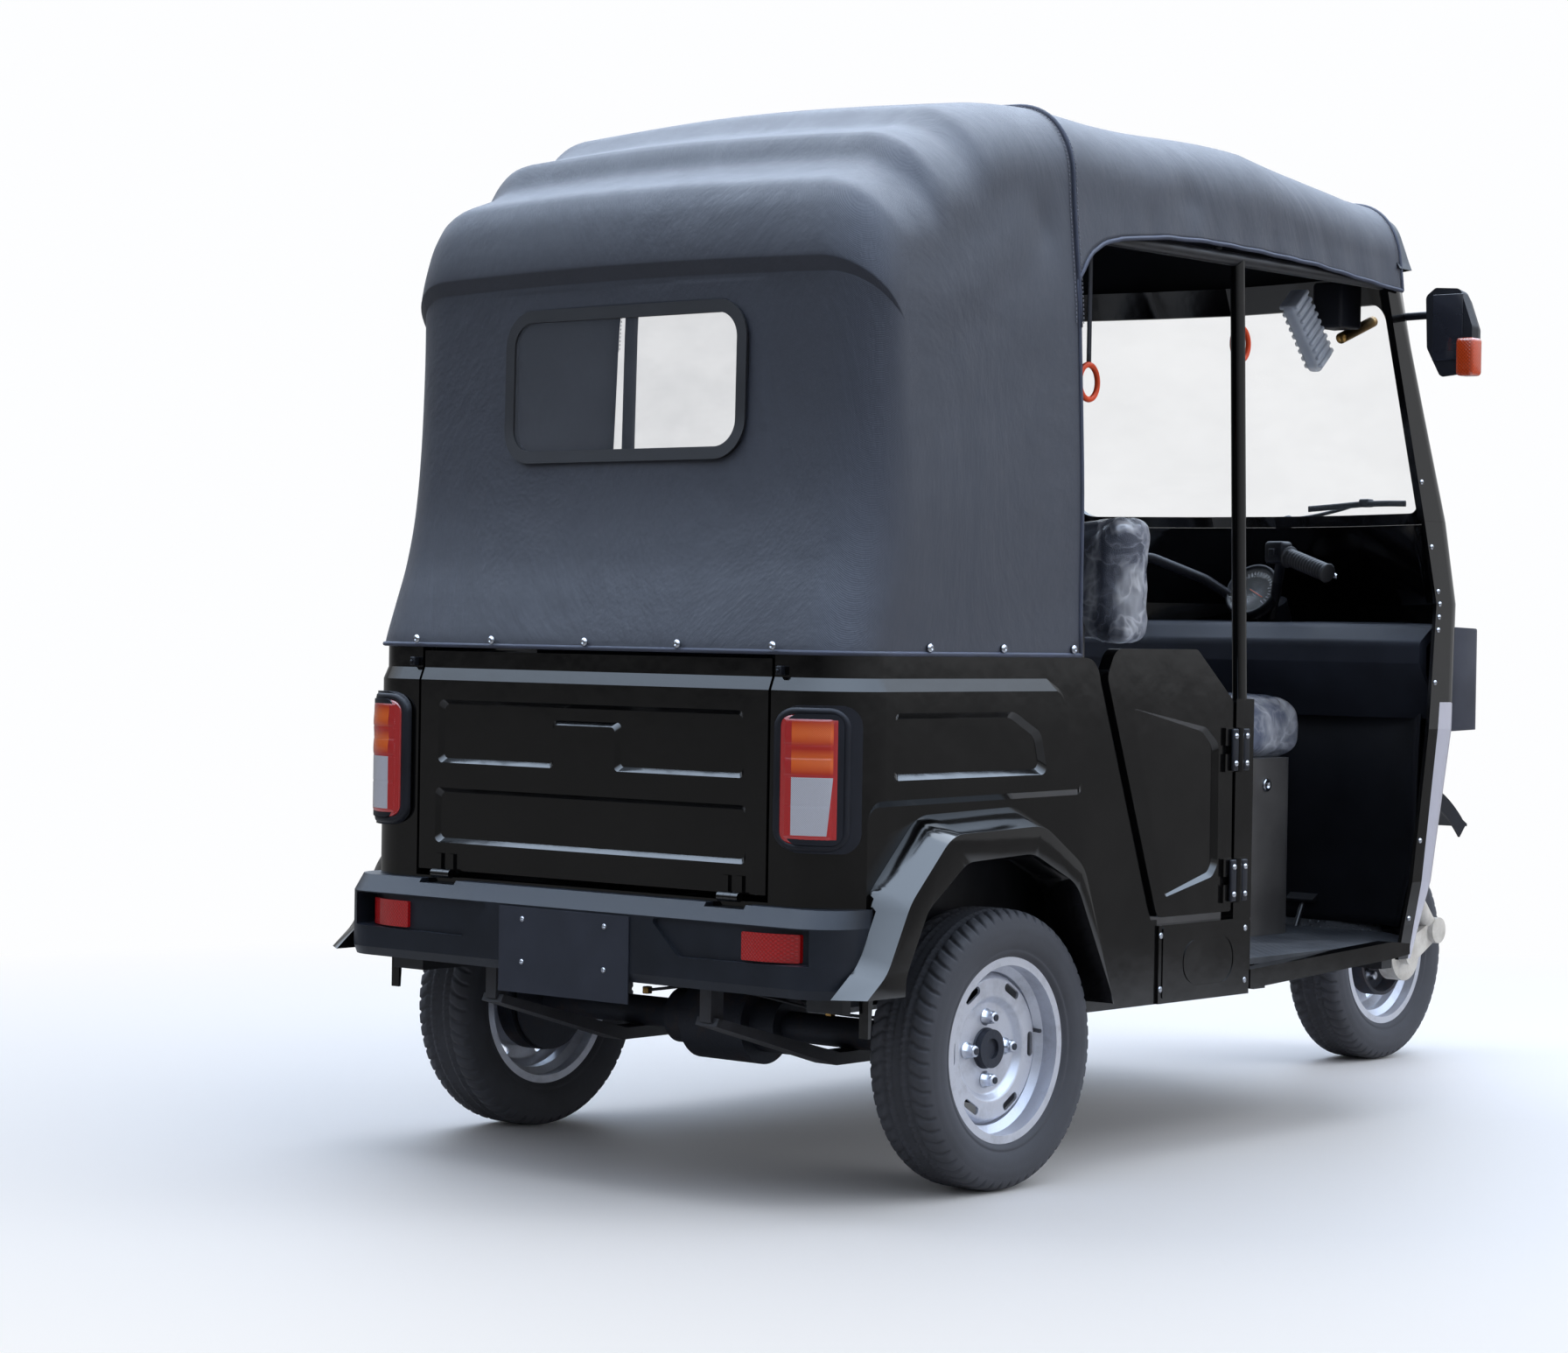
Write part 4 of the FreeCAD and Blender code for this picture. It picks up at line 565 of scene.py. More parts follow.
PAINT = gloss_black()
FRAME = satin_metal("frame_black", (26, 27, 31))
AXLE = cast_metal("axle_iron", (40, 43, 52))
TRIM = grained_plastic("trim_plastic", (25, 27, 33))
POD = grained_plastic("pod_plastic", (52, 55, 66), 0.3, 1500)
CLOTH = coated_cloth()
EDGE = rubber("edge_binding", (52, 57, 72), 0.55)
STITCH = rubber("thread", (120, 124, 136), 0.8)
SEAL = rubber("seal_rubber", (24, 24, 27), 0.5)
TYRE = rubber()
SEAT = leather()
# Painted reflection: the cushion's film gets a high haze, pale over its upward face where the overhead light
# would reflect; the back's film stays thin.
FILM = {"driver_cushion": clear_film("cushion_film", 0.6, 0.92),
        "driver_back": clear_film("back_film", 0.2, 0.8)}
CHROME = bright_metal()
ZINC = bright_metal("zinc_plate", (214, 218, 228), 0.32)
BRASS = bright_metal("brass", (190, 150, 88), 0.3)
AMBER = lamp_colour("amber_lens", (214, 78, 34), 0.05)
CLEAR = lamp_colour("clear_lens", (206, 210, 226))
ORANGE = grained_plastic("orange_plastic", (196, 72, 40), 0.4)


def paint(finish, *names):
    """Gives CAD nodes a finish."""
    for name in names:
        slots = nodes[name].data.materials
        for i in range(len(slots)):
            slots[i] = finish.mat
        if not slots:
            slots.append(finish.mat)


def dress(obj, finish, slot, body="body", node=None):
    """Gives a new piece its finish and its body, and hides the CAD node it stands for; the slot is not used.
    """
    if not obj.data.materials:
        obj.data.materials.append(finish.mat)
    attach(obj, body)
    if node:
        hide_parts(node)
    return obj


paint(PAINT, "side_panel_left", "side_panel_right", "door_left", "door_right", "arch_flares", "sills",
      "door_posts", "rear_valance", "tailgate", "screen_frame")
# The cowl's paint carries a painted reflection of the floor on its lower outer side.
paint(gloss_black("cowl_paint_and_reflection", True), "front_cowl")
# The seat box's light grey is partly the panel's own satin grey and partly a painted highlight for the
# reflection it shows while in shade.
paint(grained_plastic("seat_box_and_highlight", (78, 78, 80)), "driver_base")
paint(ribbed_mat(), "floor_pan")
paint(FRAME, "chassis_frame", "rear_frame", "steering_neck", "wheel_tubs", "luggage_deck", "brake_pedal",
      "canopy_posts", "roof_rails", "roof_hoops", "rear_bow", "roof_stringers", "belt_rails")
paint(fork_finish(), "front_fork")
paint(satin_metal("spring_black", (38, 38, 42), 0.55), "leaf_springs")
paint(AXLE, "rear_axle", "rear_hub_left", "rear_hub_right", "front_hub")
paint(cast_metal("engine_alloy", (120, 122, 126), 0.5), "engine_block")
paint(grained_plastic("bumper_plastic", (30, 34, 42), 0.36), "rear_bumper")
# Painted light: the dash plastic is a lighter copy of the trim plastic, made lighter to make up for the shade
# inside the cab.
paint(grained_plastic("dash_plastic", (34, 37, 46), 0.62), "dashboard")
paint(TRIM, "roof_visor", "front_mudguard", "handlebar", "mirrors", "tail_lamps")
paint(POD, "headlamps")
paint(grained_plastic("panel_board", (30, 30, 33), 0.6), "bench_box")
paint(grained_plastic("plate_grey", (42, 45, 54), 0.62, 1800), "number_plate")
paint(CLOTH, "canopy")
paint(SEAL, "window_gasket")
paint(TYRE, "front_tyre", "rear_tyre_left", "rear_tyre_right")
paint(wheel_paint(), "front_rim", "rear_rim_left", "rear_rim_right")
paint(SEAT, "bench_cushion", "bench_back", "driver_cushion", "driver_back")
paint(glazing("screen_glass", (200, 214, 224), 0.07), "windscreen")
paint(glazing("window_film", (150, 160, 178), 0.15, 0.12), "rear_window")
# The reflectors get a faint emission though they hold no lamp: a painted glow.
paint(lamp_colour("reflector_red", (180, 14, 20), 0.1, 0.22), "reflectors")


# ------------------------------------------------------------------ canopy cloth
HEM_Z, HALF = 0.934, 0.59      # height of the hem and half the width of the cloth there
SEAM_X, ROOF_END = 0.24, 1.4
EAVES_BEND = 0.14
FOLD_LINE = np.array([          # x, z of the hood down the middle of the back, in metres from the axle
    (-0.43, 0.934), (-0.424, 0.96), (-0.405, 1.02), (-0.38, 1.1), (-0.36, 1.2), (-0.35, 1.32),
    (-0.347, 1.45), (-0.347, 1.583), (-0.3485, 1.59), (-0.3565, 1.604), (-0.363, 1.616), (-0.358, 1.66),
    (-0.345, 1.71), (-0.328, 1.744), (-0.322, 1.752), (-0.308, 1.761), (-0.25, 1.783), (-0.222, 1.8),
    (-0.203, 1.832), (-0.192, 1.847), (-0.178, 1.855), (-0.1, 1.874), (-0.074, 1.89), (-0.05, 1.91),
    (-0.032, 1.918), (0.02, 1.929), (0.1, 1.939), (0.18, 1.944), (SEAM_X, 1.946)])
ROOF_TOP = np.array([(SEAM_X, 1.946), (0.4, 1.941), (0.9, 1.94), (1.1, 1.917), (1.3, 1.889),
                     (ROOF_END, 1.884)])
ROOF_EDGE = np.array([(SEAM_X, 1.611), (0.281, 1.662), (0.33, 1.688), (0.39, 1.701), (0.531, 1.717),
                      (0.677, 1.723), (0.86, 1.721), (1.065, 1.715), (1.366, 1.692), (ROOF_END, 1.69)])
BEND = np.array([(0.0, 0.11), (0.35, 0.125), (0.55, 0.155), (0.8, 0.17), (1.0, 0.14)])
LOW_SHARE = (1.611 - HEM_Z) / (1.946 - HEM_Z - EAVES_BEND)
LOW_COLUMNS = 17                # columns of the hood below the edge of the roof, on each side
WINDOW = (0.281, 0.128, 0.056, 1.408)   # half its width, half its height, corner radius, height of its middle


def table(rows, x):
    """The second column at x, read between the rows."""
    return np.interp(x, rows[:, 0], rows[:, 1])


def bell(v, wide):
    """Bell curve: one at 0, falling away over wide."""
    return np.exp(-(v / wide) ** 2)


def side_width(z):
    """Half width of the cloth at a height: it leans in towards the eaves."""
    return np.interp(z, [0.934, 1.2, 1.56, 1.752, 1.95], [0.59, 0.584, 0.571, 0.552, 0.54])


def bow(length, bend, rise, side):
    """Half of each bow, in its own plane: up the side, round a corner of the given bend, then across with a
    slight crown. side holds how far up the side each sample lies, 0 to 1; returns distance from the foot
    and distance from the middle, for every bow."""
    turn = np.linspace(0, math.pi / 2, 15)[None, 1:]
    over = np.linspace(0, 1, 46)[None, 1:]
    length, bend, rise = length[:, None], bend[:, None], rise[:, None]
    straight = length - bend
    crown = 0.01 * np.clip(length, 0, 1)
    far = np.concatenate([rise + (straight - rise) * side,
                          straight + bend * np.sin(turn) - crown * (np.sin(turn) ** 4),
                          length - crown * (1 - over) ** 2], 1)
    wide = np.concatenate([HALF + 0 * side * length,
                           HALF - bend * (1 - np.cos(turn)),
                           (HALF - bend) * (1 - over)], 1)
    return far, wide


def creases(x, y, z):
    """Soft unevenness: a sum of slow waves across the cloth, a few long pulls from the rear corners and
    small ripples beside the seam at the front of the hood."""
    waves = np.sin(7.1 * y + 3.3 * z + 1.0) + np.sin(5.3 * x - 6.1 * z + 2.1) + np.sin(11.9 * z + 4.7 * y * x)
    a = abs(y)
    pull = (np.sin((z - 0.55 * (x + 0.43)) * 38 + a * 9) * bell(x + 0.02, 0.16)
            * np.clip((z - 1.1) / 0.5, 0, 1))
    dent = (-0.007 * bell(x - 0.15, 0.035) * bell(z - 1.7, 0.05)
            - 0.006 * bell(x - 0.62, 0.05) * bell(z - 1.8, 0.04)) * (a > 0.3)
    tight = np.sin(x * 60 + a * 12) * bell(z - 1.72, 0.05) * np.clip(x - 0.25, 0, 0.3) * 0.006
    return waves * 0.0009 + pull * 0.0012 + dent + tight


def canopy_points():
    """Grids of the hood and of the roof. The hood is a fan of bows about the foot of its front edge: bow k
    leans so that it passes through point k of the fold line. The roof is a row of upright bows."""
    foot = np.array([0.232, HEM_Z])
    line = smooth_path(FOLD_LINE, 700)
    lean = np.arctan2(line[:, 1] - foot[1], foot[0] - line[:, 0])
    lean = np.maximum.accumulate(np.where(lean > 2, 0, lean) + np.arange(700) * 1e-7)
    reach = np.linalg.norm(line - foot, axis=1)
    marks = [np.linspace(*m) for m in ((0, 48.0, 84), (48.15, 49.3, 9), (49.8, 90.45, 74))]
    angle = np.radians(np.concatenate(marks))
    arm = np.stack([-np.cos(angle), np.sin(angle)], -1)
    side = np.concatenate([np.linspace(0, LOW_SHARE, LOW_COLUMNS), np.linspace(LOW_SHARE, 1, 11)[1:]])
    share = np.interp(angle, lean, np.linspace(0, 1, 700))
    far, wide = bow(np.interp(angle, lean, reach), table(BEND, share), 0 * angle, side[None])
    hood = np.stack([foot[0] + far * arm[:, :1], wide, foot[1] + far * arm[:, 1:]], -1)
    x = np.linspace(SEAM_X, ROOF_END, 71)
    over = (side[LOW_COLUMNS - 1:] - LOW_SHARE) / (1 - LOW_SHARE)
    run = x - SEAM_X
    top, edge = table(ROOF_TOP, x) - HEM_Z, table(ROOF_EDGE, x) - HEM_Z
    far, wide = bow(top, EAVES_BEND - 0.01 * run, edge, over[None])
    tuck = 0.014 * np.clip(run / 1.145, 0, 1)
    sag = (-0.006 * np.sin(run * math.pi / 0.54) ** 2 * (x < 1.32))[:, None]
    z = HEM_Z + far
    roof = np.stack([x[:, None] + 0 * far, wide, z + sag * np.clip((z - 1.75) * 8, 0, 1)], -1)
    roof[0] = hood[-1, LOW_COLUMNS - 1:]
    for g, narrow in ((hood, 0), (roof, tuck[:, None])):
        g[..., 1] *= (side_width(g[..., 2]) - narrow) / HALF
        yield shaken(np.concatenate([g * (1, -1, 1), g[:, -2::-1]], 1))


def shaken(grid):
    """Moves each point along the surface normal by the crease height."""
    n = unit(np.cross(np.gradient(grid, axis=0), np.gradient(grid, axis=1)))
    n = np.where((n * (grid - (0.3, 0, 1.35))).sum(-1, keepdims=True) < 0, -n, n)
    x, y, z = grid[..., 0], grid[..., 1], grid[..., 2]
    calm = (1 - bell(z - HEM_Z, 0.06)) * np.where((abs(y) < 0.33) & (x < -0.3) & (z < 1.58), 0.15, 1.0)
    return grid + n * (creases(x, y, z) * calm)[..., None]


hood, roof = canopy_points()
roof[0] = hood[-1, LOW_COLUMNS - 1:1 - LOW_COLUMNS]


def canopy_sheet():
    """The hood grid without the window, joined to the roof grid along the seam."""
    nu, nv = hood.shape[:2]
    q = quads(nu, nv)
    mid = hood.reshape(-1, 3)[q].mean(1)
    half_y, half_z, r, mid_z = WINDOW
    dy, dz = abs(mid[:, 1]) - (half_y - r), abs(mid[:, 2] - mid_z) - (half_z - r)
    out = np.hypot(np.maximum(dy, 0), np.maximum(dz, 0)) + np.minimum(np.maximum(dy, dz), 0) - r
    keep = (out > 0) | (mid[:, 0] > -0.3)
    pts = np.concatenate([hood.reshape(-1, 3), roof.reshape(-1, 3)]) + FROM_AXLE
    obj = make("canopy_sheet", pts, [np.concatenate([q[keep], quads(*roof.shape[:2], start=nu * nv)])])
    bm = editable(obj.data, 2e-5)
    bmesh.ops.delete(bm, geom=[v for v in bm.verts if not v.link_faces], context="VERTS")
    bmesh.ops.recalc_face_normals(bm, faces=bm.faces)
    if max(bm.faces, key=lambda f: f.calc_center_median().z).normal.z < 0:
        bmesh.ops.reverse_faces(bm, faces=bm.faces)
    put_back(bm, obj.data)
    wall = obj.modifiers.new("cloth", "SOLIDIFY")
    wall.thickness, wall.offset = 0.0025, -1
    return obj


canopy = canopy_sheet()


def shift_out(path, d):
    """Moves a path by d away from a point in the middle of the cabin."""
    return path + unit(path - at(0.24, 0, 1.45)) * d


def dashes(path):
    """Stitches along a path: each is a short six-sided rod that follows the path's direction."""
    long, pitch, r, sides = 0.0045, 0.0078, 0.0008, 6
    run = run_of(path)
    start = np.arange(pitch, run[-1] - pitch, pitch)
    ends = [np.stack([np.interp(start + d, run, path[:, i]) for i in range(3)], -1) for d in (0, long)]
    along = unit(ends[1] - ends[0])
    side = unit(np.cross(along, (0.013, 0.02, 1)))
    c = circle(r, sides)
    ring = side[:, None] * c[None, :, :1] + np.cross(side, along)[:, None] * c[None, :, 1:]
    pts = np.concatenate([ends[0][:, None] + ring, ends[1][:, None] + ring], 1)
    k = np.arange(sides)
    base = (np.arange(len(start)) * 2 * sides)[:, None, None]
    walls = np.stack([k, (k + 1) % sides, (k + 1) % sides + sides, k + sides], -1)[None] + base
    caps = np.stack([k[::-1], k + sides])[None] + base
    return make("stitches", pts, [walls.reshape(-1, 4), caps.reshape(-1, sides)])


def canopy_trim():
    """Piping along the hem and the edges of the cloth, a welt over the front of the hood and its stitches."""
    cord = circle(0.0042, 8)
    rows = [sweep("hem", cord, hood[0] + at(0, 0, 0.003), (0, 0, 1))]
    for edge, column in ((hood[-1, :LOW_COLUMNS], 0), (hood[-1, ::-1][:LOW_COLUMNS], -1)):
        rows.append(sweep("mouth", cord, np.concatenate([edge, roof[1:, column]]) + FROM_AXLE, (0, 1, 0.02)))
    rows.append(sweep("front", cord, roof[-1] + FROM_AXLE, (1, 0, 0)))
    seam = hood[-1, 14:-14] + FROM_AXLE
    welt = sweep("welt", circle(1, 10) * (0.0065, 0.0028), shift_out(seam, 0.0005), (1, 0, 0))
    stitches = [dashes(shift_out(seam + (dx, 0, 0), 0.0014)) for dx in (-0.011, 0.011)]
    return merged("canopy_piping", *rows, welt), merged("canopy_stitches", *stitches)


def snaps():
    """Press studs in the hem: a flange, a domed cap and a dimple, turned about the outward direction."""
    cap = lathe("snap", [(0.0001, 0.003), (0.002, 0.0032), (0.0032, 0.0046), (0.0048, 0.0044),
                         (0.0056, 0.003), (0.0072, 0.0022), (0.0078, 0.0008), (0.0078, -0.001),
                         (0.0001, -0.001)], 20)
    high = 0.9475
    rear = [(-0.4335, y, high, math.pi) for y in (0.432, 0.238, 0.006, -0.215, -0.432)]
    flanks = [(x, side * 0.5925, high, side * math.pi / 2) for side in (-1, 1) for x in (-0.208, 0.0, 0.208)]
    p = np.array(rear + flanks)
    m = np.tile(np.eye(4), (len(p), 1, 1))
    m[:, 0, 0] = m[:, 1, 1] = np.cos(p[:, 3])
    m[:, 1, 0], m[:, 0, 1] = np.sin(p[:, 3]), -np.sin(p[:, 3])
    m[:, :3, 3] = p[:, :3] + FROM_AXLE
    return outward(copies(cap, "hem_snaps", m))


piping, stitches = canopy_trim()
studs = snaps()
dress(canopy, CLOTH, "canopy_cloth", node="canopy")
dress(piping, EDGE, "canopy_cloth")
dress(stitches, STITCH, "canopy_cloth")
dress(studs, CHROME, "frame_paint")
ACROSS = float(run_of(hood[120])[-1])
ALONG = float(run_of(hood[:, hood.shape[1] // 2])[-1] + ROOF_END - SEAM_X)


# ------------------------------------------------------------------ tyres
TYRE_CUT = np.array([     # radius and offset of half the tyre from the tread's middle to the bead, mm
    (247.0, 0), (246.9, 12), (246.7, 22), (246.2, 33), (245.2, 43), (243.4, 50), (240.2, 56), (236.0, 60.2),
    (230.0, 63.2), (222.0, 65.4), (212.0, 67.0), (200.0, 67.4), (190.0, 66.0), (181.0, 62.8), (176.5, 60.4),
    (174.5, 60.6), (171.0, 60.0), (166.0, 56.0), (160.0, 52.0), (153.5, 48.8)])
SLOTS = 60                # curved slots round each shoulder


def band(v, wide, soft):
    """One within half of wide from 0, falling to none over soft."""
    return np.clip((wide / 2 + soft - abs(v)) / soft, 0, 1)


def tyre(name, centre):
    """Tyre turned about its axle. The section is a smooth curve from bead to bead. From its radius are taken
    four grooves round the middle, and on each shoulder sixty curved slots whose place along the tyre
    shifts with the distance from the middle."""
    half = smooth_path(TYRE_CUT, 34)
    cut = np.concatenate([half[::-1] * (1, -1), half[1:], [(150.5, 47.5), (150.5, 0), (150.5, -47.5)]])
    t = (np.arange(13 * SLOTS) * 2 * math.pi / (13 * SLOTS))[:, None]
    r, a = (cut[None, :, i] + 0 * t for i in (0, 1))
    tread = np.clip((r - 226) / 8, 0, 1)
    grooves = sum(band(a - c, 5.5, 1.4) for c in (-24, -8, 8, 24)) * 6.5 * tread
    wave = t * SLOTS / (2 * math.pi) + 0.55 * np.sin((abs(a) - 26) / 24) * 1.3 + 0.5 * (a > 0)
    shoulder = np.clip((abs(a) - 25) / 2, 0, 1) * np.clip((r - 229) / 6, 0, 1)
    slot = band((wave % 1.0) - 0.5, 0.13, 0.1) * shoulder * 4.6
    sipes = band(((t * 2 * SLOTS / (2 * math.pi) + a / 19) % 1.0) - 0.5, 0.1, 0.14)
    fine = sipes * (abs(a) < 21) * (abs(a) > 11) * 2.6 * tread
    ring = 1.1 * band(r - 214, 1.6, 1.0) + 0.8 * band(r - 192, 1.0, 1.0)
    r = (r - np.maximum(np.maximum(grooves, slot), fine)) / 1000 * (WHEEL_R / 0.247)
    a = (a + np.sign(a) * ring) / 1000
    return outward(surface(name, np.stack([r * np.sin(t), a, r * np.cos(t)], -1) + centre, True, True))


def nut():
    """Hexagon nut on a washer, its top edge chamfered, the end of the stud standing out; axis along y."""
    rings = [(0.015, 12, 0.0), (0.015, 12, 0.0018), (0.0124, 6, 0.002), (0.0124, 6, 0.015),
             (0.0108, 6, 0.0172),
             (0.01, 12, 0.0174), (0.0098, 12, 0.0205), (0.0082, 12, 0.0218)]
    t = np.arange(24) * math.pi / 12
    hexagon = np.cos(math.pi / 6) / np.cos((t % (math.pi / 3)) - math.pi / 6)
    pts = []
    for r, sides, y in rings:
        r = r * (hexagon if sides == 6 else 1)
        pts.append(np.stack([r * np.cos(t), 0 * t + y, r * np.sin(t)], -1))
    return capped("nut", np.array(pts))


VALVE = np.array([(0.128, -0.004, 0.022), (0.131, 0.008, 0.0225), (0.129, 0.024, 0.022)])
for label, body, side in (("rear_left", "rear_wheel_left", 1), ("rear_right", "rear_wheel_right", -1),
                          ("front", "front_wheel", -1)):
    node = body.replace("wheel", "tyre")
    c = middle(node)
    dress(tyre(f"{label}_tread", c), TYRE, "tyre_rubber", body, node)
    face = c + (0, side * 0.0082, 0)
    turn = np.arange(4)[:, None] * math.pi / 2
    m = np.tile(np.eye(4), (5, 1, 1))
    m[:, 1, 1] = side
    m[:4, :3, 3] = face + 0.055 * np.c_[np.cos(turn), 0 * turn, np.sin(turn)]
    m[4, :3, 3] = face
    dress(outward(copies(nut(), f"{label}_wheel_nuts", m[:4])), ZINC, "wheel_silver", body)
    cap = lathe("cap", [(0.0001, -0.001), (0.01, -0.001), (0.012, 0.002), (0.022, 0.0025), (0.0245, 0.001),
                        (0.036, 0.003), (0.0365, -0.006), (0.0001, -0.006)], 40, "y")
    dress(outward(copies(cap, f"{label}_hub_cap", m[4:])), AXLE, "drum_iron", body)
    stem = tube(f"{label}_valve", VALVE * (1, side, 1) + face, 0.0036, 10, 10, (0, 0.02, 1))
    dress(stem, TYRE, "tyre_rubber", body)


# ------------------------------------------------------------------ small shapes
def touch(origin, aim, *names):
    """First point that a line from origin meets on the named CAD nodes, and the surface direction there."""
    best = None
    for name in names or [n for n, o in nodes.items() if o.visible_get()]:
        hit, place, facing, _ = nodes[name].ray_cast(Vector(origin), Vector(aim))
        far = (place - Vector(origin)).length
        if hit and (best is None or far < best[0]):
            best = far, np.array(place), np.array(facing)
    if best is None:
        print("no surface met from", origin, "along", aim)
        best = 0, np.array(origin) + np.array(aim) * 0.4, -np.array(aim, float)
    return best[1:]


def aimed(points, aims):
    """Matrices that put local x along each aim and the origin at each point."""
    x = unit(np.asarray(aims, float))
    y = unit(np.cross(np.where(abs(x[:, 2:]) < 0.9, (0, 0, 1.0), (1.0, 0, 0)), x))
    m = np.tile(np.eye(4), (len(points), 1, 1))
    m[:, :3, 0], m[:, :3, 1], m[:, :3, 2], m[:, :3, 3] = x, y, np.cross(x, y), points
    return m


def rounded_box(name, lo, hi, r, k=4):
    """Box with rounded edges: each point is a corner of the box drawn in by r plus r times a unit direction,
    where the direction sweeps one octant at each corner."""
    lo, hi = np.asarray(lo, float), np.asarray(hi, float)
    half = (hi - lo) / 2 - r
    theta = (np.arange(4)[:, None] * math.pi / 2 + np.linspace(0, math.pi / 2, k)[None]).ravel()
    sx, sy, sz = np.repeat([1, -1, -1, 1], k), np.repeat([1, 1, -1, -1], k), np.repeat([-1, 1], k)
    phi = np.concatenate([np.linspace(-math.pi / 2, 0, k), np.linspace(0, math.pi / 2, k)])[:, None]
    p = np.stack([sx * half[0] + r * np.cos(phi) * np.cos(theta),
                  sy * half[1] + r * np.cos(phi) * np.sin(theta),
                  sz[:, None] * half[2] + r * np.sin(phi) + 0 * theta], -1)
    return capped(name, p + (hi + lo) / 2)


def block(name, mid, half, r):
    """Rounded box about a middle."""
    return rounded_box(name, np.array(mid) - half, np.array(mid) + half, r)


def screw(r, high):
    """Domed screw head along x with a cross cut into it: radius falls along a quarter ellipse; the cross is
    where the point lies near either of two lines through the middle."""
    t = np.arange(32) * math.pi / 16
    rings = []
    for f in (0.001, 0.25, 0.45, 0.65, 0.8, 0.92, 1.0):
        rr = r * f
        cross = np.minimum(abs(rr * np.sin(t)), abs(rr * np.cos(t))) < r * 0.16
        x = high * np.sqrt(max(0.0, 1 - f * f * 0.96)) - 0.35 * high * cross * (f < 0.7)
        rings.append(np.stack([x, rr * np.cos(t), rr * np.sin(t)], -1))
    rings.append(np.stack([0 * t - 0.001, r * np.cos(t), r * np.sin(t)], -1))
    return capped("screw", np.array(rings))


def round_head(r, high):
    """Domed head along x, turned from a profile that falls like a quarter circle."""
    dome = [(0.0001, high), (r * 0.5, high * 0.93), (r * 0.8, high * 0.66), (r * 0.95, high * 0.3)]
    return lathe("head", dome + [(r, 0), (r, -0.001), (0.0001, -0.001)], 20)


# ------------------------------------------------------------------ tail lamps
LAMP_LO, LAMP_HI = np.array((0.0225, 0.6175)), np.array((0.1145, 0.8335))     # across and height
LAMP_ROUND = 0.022
CORNER, ARC = np.array((-0.32, 0.48)), 0.11     # middle and radius of the body's rear corner, x and y


def lamp_point(e, z, out, side):
    """Point on the body corner at diagonal coordinate e and height z, raised by out. The body is flat at the
    back until the corner arc starts."""
    w = e * math.sqrt(2)
    phi = math.pi / 4 + np.arcsin(np.clip((w - CORNER.sum()) / (ARC * math.sqrt(2)), -0.7071, 1))
    bent = e > 0.05 / math.sqrt(2)
    nx, ny = -np.cos(np.where(bent, phi, 0)), np.sin(np.where(bent, phi, 0))
    x = np.where(bent, CORNER[0] - ARC * np.cos(phi), CORNER[0] - ARC)
    y = np.where(bent, CORNER[1] + ARC * np.sin(phi), w + 0.43)
    return np.stack([x + out * nx + AXLE_X, side * (y + out * ny), z], -1)


def rounded_grid(lo, hi, r, nu, nv):
    """Grid over a rectangle whose corner points are pulled in to arcs of radius r."""
    u, v = np.meshgrid(np.linspace(lo[0], hi[0], nu), np.linspace(lo[1], hi[1], nv), indexing="ij")
    cu, cv = np.clip(u, lo[0] + r, hi[0] - r), np.clip(v, lo[1] + r, hi[1] - r)
    d = np.hypot(u - cu, v - cv)
    far = np.maximum(abs(u - cu), abs(v - cv))
    k = np.where(d > 1e-9, far / np.maximum(d, 1e-9), 1)
    return cu + (u - cu) * k, cv + (v - cv) * k


def within(e, z, lo, hi):
    """Distance to the nearest side of a rectangle, positive inside."""
    return np.minimum(np.minimum(e - lo[0], hi[0] - e), np.minimum(z - lo[1], hi[1] - z))


def lamp_lens(name, side):
    """Moulded lens: a low dome with steps round the amber and the clear blocks, closed by a skirt."""
    e, z = rounded_grid(LAMP_LO, LAMP_HI, LAMP_ROUND, 60, 110)
    out = 0.013 + 0.004 * (1 - np.exp(-np.maximum(within(e, z, LAMP_LO, LAMP_HI), 0) / 0.006))
    block_in = np.clip(within(e, z, (0.03, 0.628), (0.098, 0.826)) / 0.0015, 0, 1)
    seams = sum(bell(z - c, 0.0014) for c in (0.682, 0.731, 0.762, 0.784))
    amber = (z > 0.731) * (np.sin((z - 0.731) * 2 * math.pi / 0.048) * 0.0006)
    out = out + 0.0012 * block_in - 0.0009 * block_in * seams + amber * block_in
    e, z = (np.pad(a, 1, mode="edge") for a in (e, z))
    return outward(surface(name, lamp_point(e, z, np.pad(out, 1, constant_values=0.0055), side)))


def outline(lo, hi, r):
    """Evenly spread points round a rectangle with arcs of radius r at its corners."""
    a = np.linspace(0, math.pi / 2, 15)
    rows = [np.stack([x + r * np.cos(a + k * math.pi / 2), z + r * np.sin(a + k * math.pi / 2)], -1)
            for k, (x, z) in enumerate(((hi[0] - r, hi[1] - r), (lo[0] + r, hi[1] - r),
                                        (lo[0] + r, lo[1] + r),
                                        (hi[0] - r, lo[1] + r)))]
    p = np.concatenate([*rows, rows[0][:1]])
    run = run_of(p)
    s = np.linspace(0, run[-1], 161)[:-1]
    return [np.interp(s, run, p[:, i]) for i in (0, 1)]


def lamp_bezel(name, side):
    """Black ring round the lens: a rounded profile carried round the rounded outline of the lamp."""
    loops = []
    for grow, out in ((-0.001, 0.004), (-0.001, 0.0105), (0.001, 0.0125), (0.0055, 0.0135), (0.01, 0.0125),
                      (0.0125, 0.0095), (0.0135, 0.004)):
        e, z = outline(LAMP_LO - grow, LAMP_HI + grow, LAMP_ROUND + grow)
        loops.append(lamp_point(e, z, out + 0 * e, side))
    return outward(surface(name, np.array(loops), False, True))


